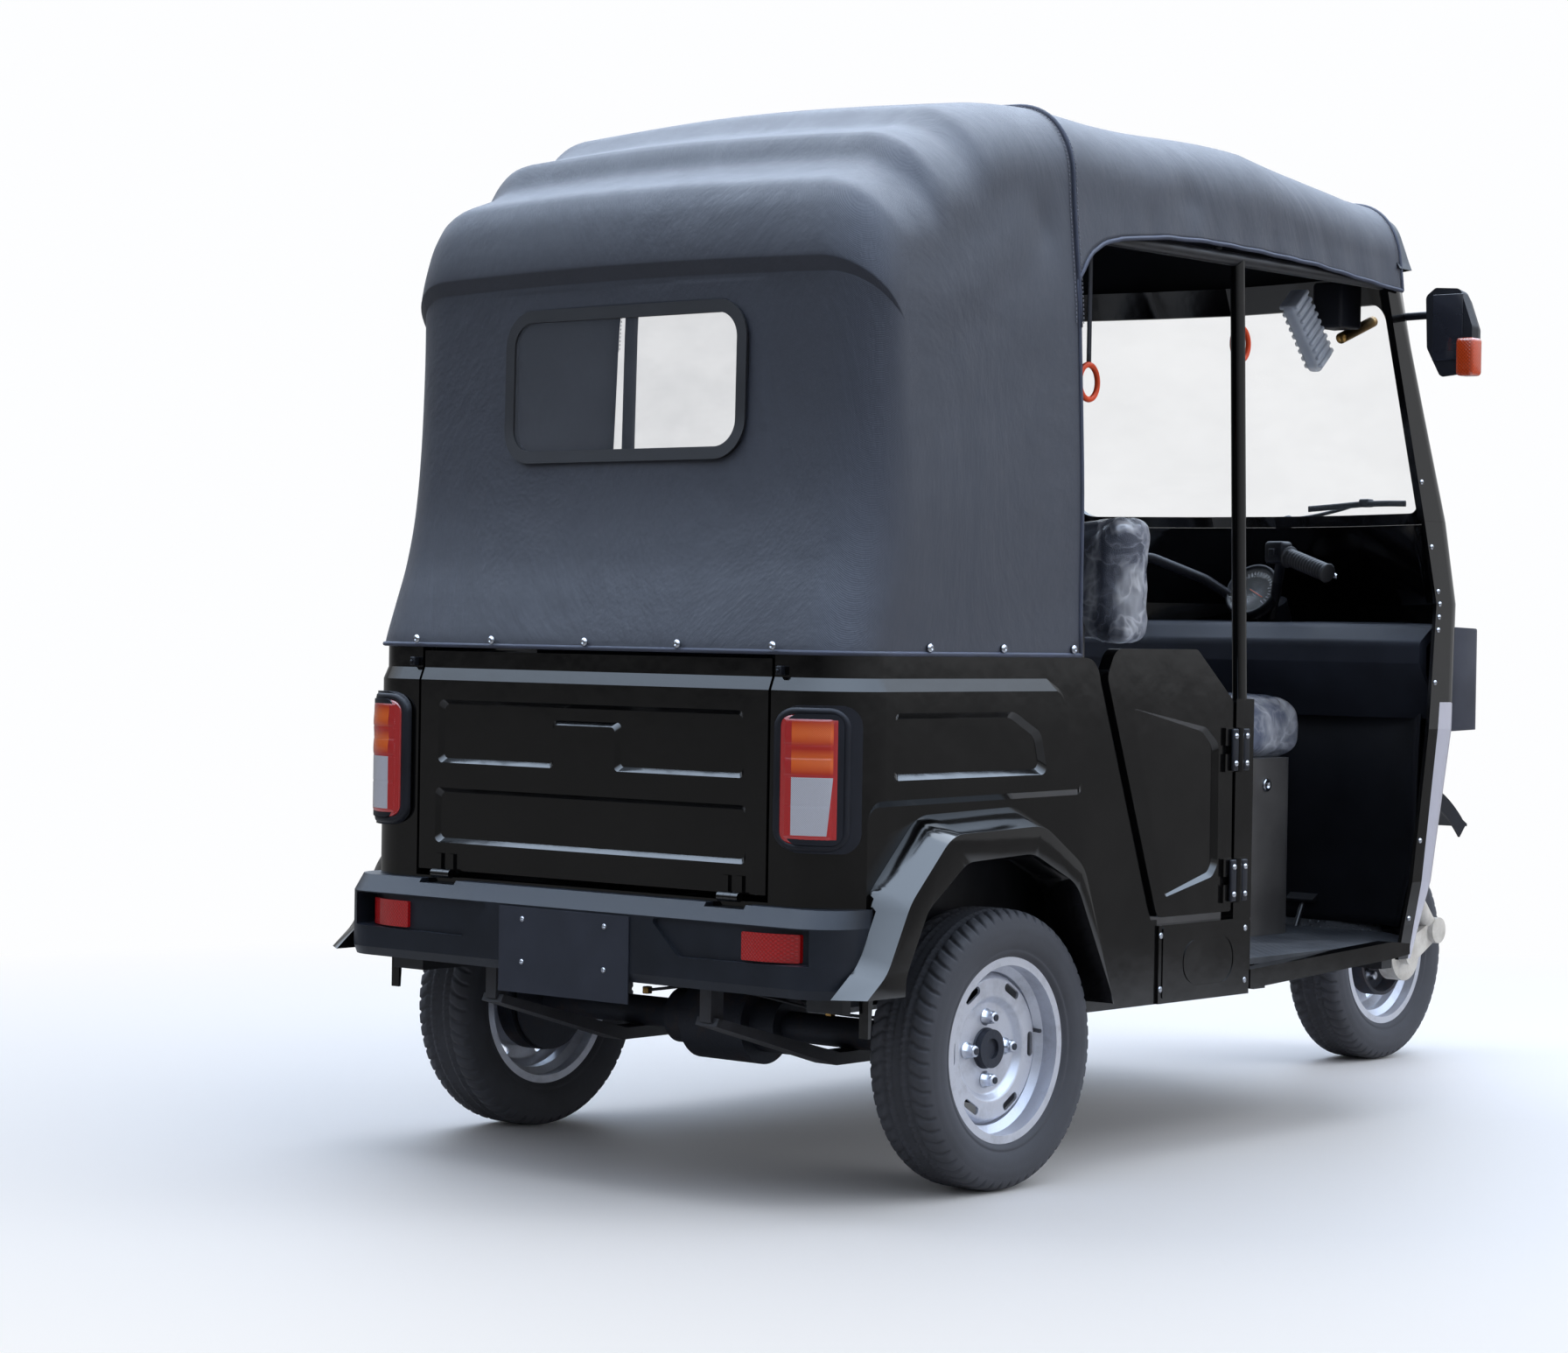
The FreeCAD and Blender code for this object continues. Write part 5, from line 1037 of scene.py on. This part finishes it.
def lamp_finish():
    """Red surround, amber upper blocks and clear lower blocks, told apart by height and place across."""
    m = Finish("tail_lens", Roughness=0.1, Coat_Weight=0.7, Coat_Roughness=0.03)
    x, y, z = m.axes()
    e = (x - float(AXLE_X) + abs(y)) * (1 / math.sqrt(2))
    inside = (e > 0.03) * (e < 0.098)
    amber = inside * (z > 0.733) * (z < 0.824)
    clear = inside * (z > 0.632) * (z < 0.729) * (e + (0.729 - z) * 0.1 < 0.098)
    prisms = (e * 1900).sin() * (z * 1900).sin()
    orange = m.blend(abs(((z - 0.731) * 65).sin()).ramp(0.2, 1.0), rgb(196, 34, 12), rgb(244, 110, 30))
    pale = m.blend(prisms.ramp(-0.5, 0.8), rgb(176, 182, 202), rgb(224, 228, 240))
    red = m.blend(prisms.ramp(-0.4, 0.9), rgb(178, 22, 26), rgb(206, 38, 40))
    colour = m.blend(clear, m.blend(amber, red, orange), pale)
    m.set(Base_Color=colour, Emission_Color=colour, Emission_Strength=0.06)
    return m.bump(prisms, 0.0005, 0.35)


TAIL_LENS = lamp_finish()
for side, label in SIDES:
    dress(lamp_lens(f"tail_lens_{label}", side), TAIL_LENS, "lamp_red")
    dress(lamp_bezel(f"tail_bezel_{label}", side), TRIM, "trim_plastic")

# ------------------------------------------------------------------ seats
def bare_copy(node, name, inset, voxel):
    """Even mesh over a CAD cushion drawn in by inset on every side."""
    me = put_back(editable(nodes[node].data, 1e-5), bpy.data.meshes.new(name))
    me.materials.clear()
    co = read(me)
    mid, half = (co.min(0) + co.max(0)) / 2, (co.max(0) - co.min(0)) / 2
    write(me, mid + (co - mid) * (half - inset) / half)
    obj = linked(name, me)
    net = obj.modifiers.new("net", "REMESH")
    net.mode, net.voxel_size = "VOXEL", voxel
    obj.data = bpy.data.meshes.new_from_object(obj.evaluated_get(bpy.context.evaluated_depsgraph_get()))
    obj.modifiers.clear()
    return obj


def inflate(pads, frames, cap):
    """Cloth pressure swells the pads together; no point may move further than cap."""
    start = [read(p.data) for p in pads]
    for p in pads:
        cloth = p.modifiers.new("cloth", "CLOTH")
        cloth.settings.use_pressure = True
        cloth.settings.uniform_pressure_force = 4.0
        cloth.settings.quality = 4
        cloth.settings.effector_weights.gravity = 0.0
        cloth.point_cache.frame_end = frames
    for f in range(frames):
        scene.frame_set(f + 1)
    view = bpy.context.evaluated_depsgraph_get()
    for p, before in zip(pads, start):
        move = read(bpy.data.meshes.new_from_object(p.evaluated_get(view))) - before
        far = np.linalg.norm(move, axis=1, keepdims=True)
        p.modifiers.clear()
        write(p.data, before + move * np.minimum(1, cap / np.maximum(far, 1e-9)))
    scene.frame_set(1)


PADS = {"driver_cushion": 0.0085, "driver_back": 0.0085, "bench_cushion": 0.0115, "bench_back": 0.0115}
pads = {name: bare_copy(name, name + "_pad", 0.01, size) for name, size in PADS.items()}
inflate(list(pads.values()), 20, 0.012)


def groove(v, places, wide):
    """Sum of one bell curve at each place."""
    return sum(bell(v - c, wide) for c in places)


def dressed_pad(node):
    """Sewn channels go in along the sitting face, then the pad is held to the room the seat leaves it."""
    me = pads[node].data
    co, n = read(me), read(me, "normal")
    lo, hi = [np.array(v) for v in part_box(node)]
    s = (co - lo) / (hi - lo)
    flat = node.endswith("cushion")
    count = 3 if node.startswith("bench") else 1
    up = 2 if flat else 0                       # the axis that the sitting face looks along
    face = np.clip(n[:, up], 0, 1) ** 0.5
    cross = groove(s[:, 0], (0.12, 0.86), 0.012) if flat else groove(s[:, 2], (0.14, 0.88), 0.012)
    lines = groove(s[:, 1], np.arange(1, count) / count, 0.006) + cross
    crown = 0.01 * (1 - (2 * s[:, 0] - 1) ** 2) * (1 - (2 * s[:, 1] - 1) ** 4) if flat else 0
    co[:, up] += (crown - 0.006 * np.clip(lines, 0, 1)) * face
    write(me, np.clip(co, lo + (-0.001, -0.004, 0.0005), hi + (0.002 if flat else 0.006, 0.004, 0.006)))
    return pads[node]


def film_over(obj, name, seed, deep):
    """Loose film: the pad's own shape moved out along its normals by a small gap and by folds. Each fold is
    one minus the size of a sine of a slanted, slowly bending line, so its top is sharp."""
    co, n = read(obj.data), read(obj.data, "normal")
    rng = np.random.default_rng(seed)
    lift = np.zeros(len(co))
    for _ in range(7):
        aim = unit(rng.normal(size=3) * (1.0, 1.0, 0.7))
        bend = unit(rng.normal(size=3))
        wave = co @ aim * rng.uniform(14, 46)
        wave = wave + 1.6 * np.sin(co @ bend * rng.uniform(14, 34)) + rng.uniform(0, 6)
        lift += (1 - abs(np.sin(wave))) ** 3 * rng.uniform(0.3, 1.0)
    film = linked(name, obj.data.copy())
    film.data.materials.clear()
    write(film.data, co + n * (0.0022 + deep * lift / lift.max())[:, None])
    return film


for node in PADS:
    pad = dressed_pad(node)
    dress(pad, SEAT, "seat_leather", node=node)
    pieces = [pad]
    if node in FILM:
        pieces.append(dress(film_over(pad, node + "_film", 7 + len(node), 0.0055), FILM[node], "clear_glass"))
    for p in pieces:
        fine = p.modifiers.new("finer", "SUBSURF")
        fine.levels = fine.render_levels = 1
        p.data.polygons.foreach_set("use_smooth", np.ones(len(p.data.polygons), bool))

# ------------------------------------------------------------------ screws and bolts
def row(name, shape, points, aim, body="body"):
    """Copies of a bright shape at the points, all turned to one aim."""
    return dress(outward(copies(shape, name, aimed(points, [aim] * len(points)))),
                 CHROME, "frame_paint", body)


def seated(points, aim, *names):
    """Each point slid along the aim from outside until it meets one of the nodes."""
    return [touch(p - np.array(aim) * 0.4, aim, *names)[0] for p in points]


LOCK = [(0.0001, 0.002), (0.006, 0.002), (0.0065, 0.0045), (0.012, 0.005), (0.0135, 0.003), (0.014, -0.001),
        (0.0001, -0.001)]
HINGES = (0.511, 0.76)                         # heights of each door's two hinges
PILLAR_SCREWS = (1.167, 1.075, 1.049, 1.022, 0.995, 0.886, 1.3, 0.56, 0.4)
PLATE_HOLES = [at(-0.475, 0.008 + y, z) for y in (-0.1, 0.1) for z in (0.378, 0.454)]
REAR_EDGE = np.array([          # z and x of the cowl's and the screen frame's rear edge
    (0.316, 1.405), (0.387, 1.416), (0.475, 1.43), (0.79, 1.477), (1.05, 1.513), (1.22, 1.472),
    (1.735, 1.345)])
row("plate_screws", screw(0.005, 0.003), PLATE_HOLES, (-1, 0, 0))
for side, label in SIDES:
    aim, face = (0, -side, 0), (0, side, 0)
    cover = [at(x, side * 0.6, z) for x in (0.507, 0.788) for z in (0.317, 0.417)]
    row(f"cover_screws_{label}", screw(0.0058, 0.0028), seated(cover, aim), face)
    halves = (("door", f"door_{label}", 0.72325), ("post", "body", 0.76075))
    for kind, body, x in halves:
        leaves = [block("leaf", at(x, side * 0.6, z), (0.00975, 0.0035, 0.04), 0.003) for z in HINGES]
        dress(merged(f"{kind}_leaves_{label}", *leaves), TRIM, "frame_paint", body)
    for _, body, x in halves:
        bolts = [at(x, side * 0.6032, z + d) for z in HINGES for d in (-0.026, 0.026)]
        row(f"hinge_bolts_{label}_{body.split('_')[0]}", round_head(0.0058, 0.0042), bolts, face, body)
    pillar = [at(table(REAR_EDGE, z) + 0.013, side * 0.7, z) for z in PILLAR_SCREWS]
    row(f"pillar_screws_{label}", round_head(0.0055, 0.0038), seated(pillar, aim), face)
    keyhole = seated([at(1.323, side * 0.4, 0.666)], aim, "driver_base")
    row(f"base_lock_{label}", lathe("lock", LOCK, 28), keyhole, face)

# ------------------------------------------------------------------ mirrors, wiper, cabin fittings
MIRROR_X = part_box("mirrors")[0].x
for side, label in SIDES:
    spot, _ = touch((MIRROR_X - 0.3, side * 0.715, 1.6), (1, 0, 0), "mirrors")
    glass = block(f"mirror_glass_{label}", spot - (0.0005, 0, 0), (0.0015, 0.034, 0.066), 0.0014)
    dress(glass, glazing(f"mirror_dark_{label}", (50, 54, 66), 0.92, 0.08), "clear_glass")
    lamp = block(f"mirror_lamp_{label}", (MIRROR_X + 0.015, side * 0.755, 1.54), (0.021, 0.02, 0.038), 0.008)
    dress(lamp, AMBER, "lamp_red")

BLADE = [(1.771, -0.085, 1.256), (1.76, -0.16, 1.26), (1.743, -0.239, 1.264), (1.72, -0.31, 1.264),
         (1.69, -0.378, 1.262)]
ARM = [(1.8, -0.02, 1.232), (1.786, -0.09, 1.24), (1.768, -0.163, 1.252), (1.746, -0.222, 1.264),
       (1.736, -0.25, 1.268)]
FLAT_BAR = [(-0.0025, -0.006), (0.0025, -0.006), (0.0025, 0.004), (0.0012, 0.007), (-0.0012, 0.007),
            (-0.0025, 0.004)]
push = np.array([0.012, -0.003, 0.004])   # how far the blade stands off the glass, and the arm twice that
foot = lathe("foot", [(0.0001, 0.03), (0.01, 0.03), (0.013, 0.022), (0.013, 0.004), (0.019, 0.002),
                      (0.019, -0.004), (0.0001, -0.004)], 24)
wiper = [sweep("blade", FLAT_BAR, smooth_path(BLADE, 30) + at(*push)),
         sweep("arm", circle(0.0042, 10), smooth_path(ARM, 24) + at(*(push * 2))),
         block("clip", at(1.76, -0.249, 1.271), (0.012, 0.013, 0.009), 0.004),
         copies(foot, "foot", aimed([touch(at(2.4, -0.01, 1.225), (-1, 0, 0))[0]], [(0.85, 0, 0.5)]))]
dress(merged("wiper", *wiper), TRIM, "trim_plastic")


def grab_ring(place, top):
    """Round cord carried along an upright ellipse, and a flat strip straight up to the roof rail."""
    ring = circle(1, 48) @ [(0.028, 0, 0), (0, 0, 0.032)] + place
    hook = place + (0, 0, 0.032)
    strip = np.array([(-0.006, -0.001), (0.006, -0.001), (0.006, 0.001), (-0.006, 0.001)])
    return (sweep("ring", circle(0.0055, 10), ring, (0, 1, 0.01), close=True),
            sweep("strap", strip, np.linspace(hook, (hook[0], hook[1], top), 12), (0, 1, 0)))


for side, label, rings_at in ((-1, "right", ((0.36, 1.4385), (0.862, 1.5445))),
                              (1, "left", ((0.862, 1.5445),))):
    rings, straps = zip(*[grab_ring(at(x, side * 0.505, z), 1.692) for x, z in rings_at])
    dress(merged(f"grab_rings_{label}", *rings), ORANGE, "trim_plastic")
    dress(merged(f"grab_straps_{label}", *straps), TRIM, "canopy_cloth")


def tilted(obj):
    """Turns a piece of the cabin lamp about the lamp's middle."""
    tilt = np.array(Matrix.Rotation(math.radians(-41), 3, "Y"))
    write(obj.data, (read(obj.data) - LAMP_AT) @ tilt.T + LAMP_AT)
    return obj


LAMP_AT = at(1.27, -0.4, 1.604)
ribs = [block("rib", LAMP_AT + (0, 0, -0.06875 + 0.0185 * k), (0.03, 0.022, 0.00525), 0.004)
        for k in range(9)]
housing = merged("cabin_lamp", block("shell", LAMP_AT, (0.034, 0.017, 0.085), 0.012), *ribs)
dress(tilted(housing), glazing("lamp_housing", (206, 216, 232), 0.62, 0.12), "clear_glass")
core = block("cabin_lamp_core", LAMP_AT, (0.022, 0.01, 0.07), 0.006)
dress(tilted(core), glazing("lamp_core", (92, 106, 140), 0.9, 0.2), "clear_glass")
dress(block("cabin_lamp_box", at(1.366, -0.41, 1.662), (0.042, 0.035, 0.047), 0.008), TRIM, "trim_plastic")
pipe = [at(1.395, -0.402, 1.598), at(1.46, -0.402, 1.621), at(1.522, -0.402, 1.643)]
dress(tube("cabin_lamp_tube", pipe, 0.0115, 12, 16), BRASS, "frame_paint")
stay = [at(1.362, -0.41, 1.7), at(1.352, -0.44, 1.715), at(1.33, -0.5, 1.712), at(1.325, -0.515, 1.704)]
dress(tube("cabin_lamp_stay", stay, 0.006, 20, 10), FRAME, "frame_paint")


def grip(name, a, b):
    """Ribbed sleeve: the radius follows a rounded saw along the bar and ends in a flange and a cap."""
    s = np.linspace(0, 1, 91)
    k = 1 + 0.05 * np.clip(np.sin(s * 2 * math.pi * 15), -0.4, 1) * (s > 0.08) * (s < 0.94)
    k = k + 0.32 * bell(s - 0.03, 0.016) + 0.14 * bell(s - 0.975, 0.02)
    k[0] = k[-1] = 0.9
    return sweep(name, circle(0.0185, 26), a + (b - a) * s[:, None], (0, 0.01, 1), k)


# how far each point of a lever lies along the grip, ahead of it and above it
LEVER = ((0, 0.01, 0.004), (0.03, 0.045, 0.004), (0.09, 0.058, -0.002), (0.15, 0.05, -0.01))
for side, label in SIDES:
    a, b = at(1.5, side * 0.215, 1.148), at(1.466, side * 0.338, 1.111)
    dress(grip(f"grip_{label}", a, b), SEAL, "gasket_rubber", "steering")
    lean = unit(b - a)
    hub = a - lean * 0.03
    case = block("switch", hub, (0.022, 0.024, 0.024), 0.009)
    button = block("button", hub - (0.024, 0, 0), (0.006, 0.008, 0.008), 0.003)
    lever = tube("lever", [hub + lean * d + (x, 0, z) for d, x, z in LEVER], 0.0052, 30, 10)
    dress(merged(f"switch_{label}", case, button), TRIM, "trim_plastic", "steering")
    dress(lever, CHROME, "frame_paint", "steering")

# ------------------------------------------------------------------ cab front and dash
def footwell_wall():
    """Curved inner board between the floor and the dash: its x runs back from floor to dash along a cubic,
    and its ends bend rearwards. It is narrower near the floor, where the cowl tapers."""
    v, u = np.meshgrid(np.linspace(0, 1, 30), np.linspace(-1, 1, 50), indexing="ij")
    half = 0.464 + 0.036 * np.clip(v / 0.28, 0, 1)
    pts = np.stack([1.615 + 0.03 * v ** 3 - 0.05 * abs(u) ** 6, half * u, 0.368 + 0.56 * v], -1) + FROM_AXLE
    obj = surface("footwell_wall", pts[:, ::-1])
    wall = obj.modifiers.new("board", "SOLIDIFY")
    wall.thickness, wall.offset = 0.004, 0
    return obj


dress(footwell_wall(), TRIM, "trim_plastic")
BOWL = [(0.0001, -0.03), (0.03, -0.026), (0.052, -0.01), (0.062, 0.004), (0.07, 0.006), (0.074, 0.003),
        (0.074, -0.01)]
LENS_CUT = [(0.0001, 0.016), (0.02, 0.0155), (0.04, 0.013), (0.056, 0.009), (0.0655, 0.0045),
            (0.0655, 0.0015),
            (0.0001, 0.0125)]
BULB = [(0.0001, 0.006), (0.007, 0.004), (0.009, -0.004), (0.009, -0.028), (0.0001, -0.028)]
STRIP = np.array([(1.775, 0.541, 0.975), (1.783, 0.542, 0.93), (1.787, 0.541, 0.89), (1.783, 0.536, 0.852)])
for side, label in SIDES:
    hit, facing = touch(at(2.4, side * 0.44, 0.9), (-1, 0, 0))
    for kind, cut, n, finish, slot in (
            ("bowl", BOWL, 64, CHROME, "frame_paint"),
            ("lens", LENS_CUT, 64, glazing(f"head_lens_{label}", (214, 222, 236), 0.35, 0.05), "clear_glass"),
            ("bulb", BULB, 20, CLEAR, "clear_glass")):
        dress(copies(lathe(kind, cut, n), f"headlamp_{kind}_{label}", aimed([hit], [facing])), finish, slot)
    path = smooth_path(STRIP * (1, side, 1), 30) + FROM_AXLE
    hug = np.array([touch(p + (0, side * 0.2, 0), (0, -side, 0))[0] for p in path])
    strip = sweep(f"side_strip_{label}", circle(1, 16) * (0.012, 0.005), hug, (0, side, 0))
    dress(strip, glazing(f"strip_lens_{label}", (220, 226, 238), 0.75, 0.1), "clear_glass")
    glow = sweep(f"side_signal_{label}", circle(1, 12) * (0.004, 0.0062), hug[6:20], (0, side, 0))
    dress(glow, AMBER, "lamp_red")


def gauge():
    """Round gauge in a hooded pod on the stem: pod, ticks, needle and cover, each with its finish."""
    place = aimed([at(1.7, 0, 1.075)], [(-0.86, 0, 0.5)])
    pod = lathe("pod", [(0.0001, -0.045), (0.04, -0.042), (0.06, -0.02), (0.066, 0.004), (0.064, 0.012),
                        (0.058, 0.012), (0.056, 0.004), (0.0001, 0.003)], 56)
    ticks = []
    for k, a in enumerate(np.radians(np.linspace(-130, 130, 27))):
        inner = 0.042 if k % 5 else 0.038       # every fifth tick is longer
        tick = rounded_box("mark", (0.0034, -0.0009, inner), (0.0042, 0.0009, 0.05), 0.0003, 2)
        ticks.append(copies(tick, "mark", [Matrix.Rotation(a, 4, "X")]))
    needle = rounded_box("needle", (0.0048, -0.0012, -0.008), (0.006, 0.0012, 0.036), 0.0005, 2)
    needle = copies(needle, "needle", [Matrix.Rotation(math.radians(-118), 4, "X")])
    cut = [(0.0001, 0.0105), (0.03, 0.01), (0.0565, 0.0085), (0.0565, 0.0075), (0.0001, 0.0095)]
    # The needle takes the amber lens finish, whose faint emission is a painted glow on a part that holds no
    # lamp.
    for kind, obj, finish, slot in (
            ("pod", pod, TRIM, "trim_plastic"),
            ("marks", merged("marks", *ticks), CLEAR, "trim_plastic"),
            ("needle", needle, AMBER, "lamp_red"),
            ("glass", lathe("glass", cut, 48), glazing("gauge_cover", (200, 210, 220), 0.12), "clear_glass")):
        dress(copies(obj, f"gauge_{kind}", place), finish, slot, "steering")


gauge()

# ------------------------------------------------------------------ rear and underside fittings
for k, y in enumerate((-0.445, 0.445)):
    hold = block("catch", at(-0.4265, y, 0.906), (0.0065, 0.006, 0.008), 0.002)
    pin = lathe("pin", [(0.0001, 0.004), (0.002, 0.0035), (0.003, 0.002), (0.003, 0), (0.0001, 0)], 16)
    pin = copies(pin, "pin", aimed([at(-0.4328, y, 0.906)], [(-1, 0, 0)]))
    dress(merged(f"gate_catch_{k}", hold, pin), TRIM, "frame_paint")
PIPE = [at(*p) for p in ((-0.045, 0.2, 0.292), (-0.05, 0.05, 0.312), (-0.052, -0.08, 0.305),
                         (-0.046, -0.25, 0.287), (-0.04, -0.38, 0.285))]
dress(tube("brake_pipe", PIPE, 0.003, 60, 8), FRAME, "frame_paint")
fittings = [block("fitting", PIPE[k], (0.007, 0.007, 0.007), 0.002) for k in (0, 1, 3)]
dress(merged("pipe_fittings", *fittings), BRASS, "frame_paint")


# ------------------------------------------------------------------ rounded edges
def softened(node, wide):
    """The node's own shape with its flat faces joined up and every sharp edge rounded to a width."""
    bm = editable(nodes[node].data, 2e-5)
    bmesh.ops.dissolve_limit(bm, angle_limit=math.radians(2), verts=bm.verts, edges=bm.edges)
    me = put_back(bm, bpy.data.meshes.new(node + "_rounded"))
    me.materials.clear()
    me.polygons.foreach_set("use_smooth", np.ones(len(me.polygons), bool))
    obj = linked(me.name, me)
    edge = obj.modifiers.new("edge", "BEVEL")
    edge.width, edge.segments, edge.limit_method, edge.angle_limit = wide, 3, "ANGLE", math.radians(24)
    edge.harden_normals = True
    return obj


dress(softened("headlamps", 0.009), POD, "pod_plastic", node="headlamps")
dress(softened("arch_flares", 0.007), PAINT, "body_paint", node="arch_flares")
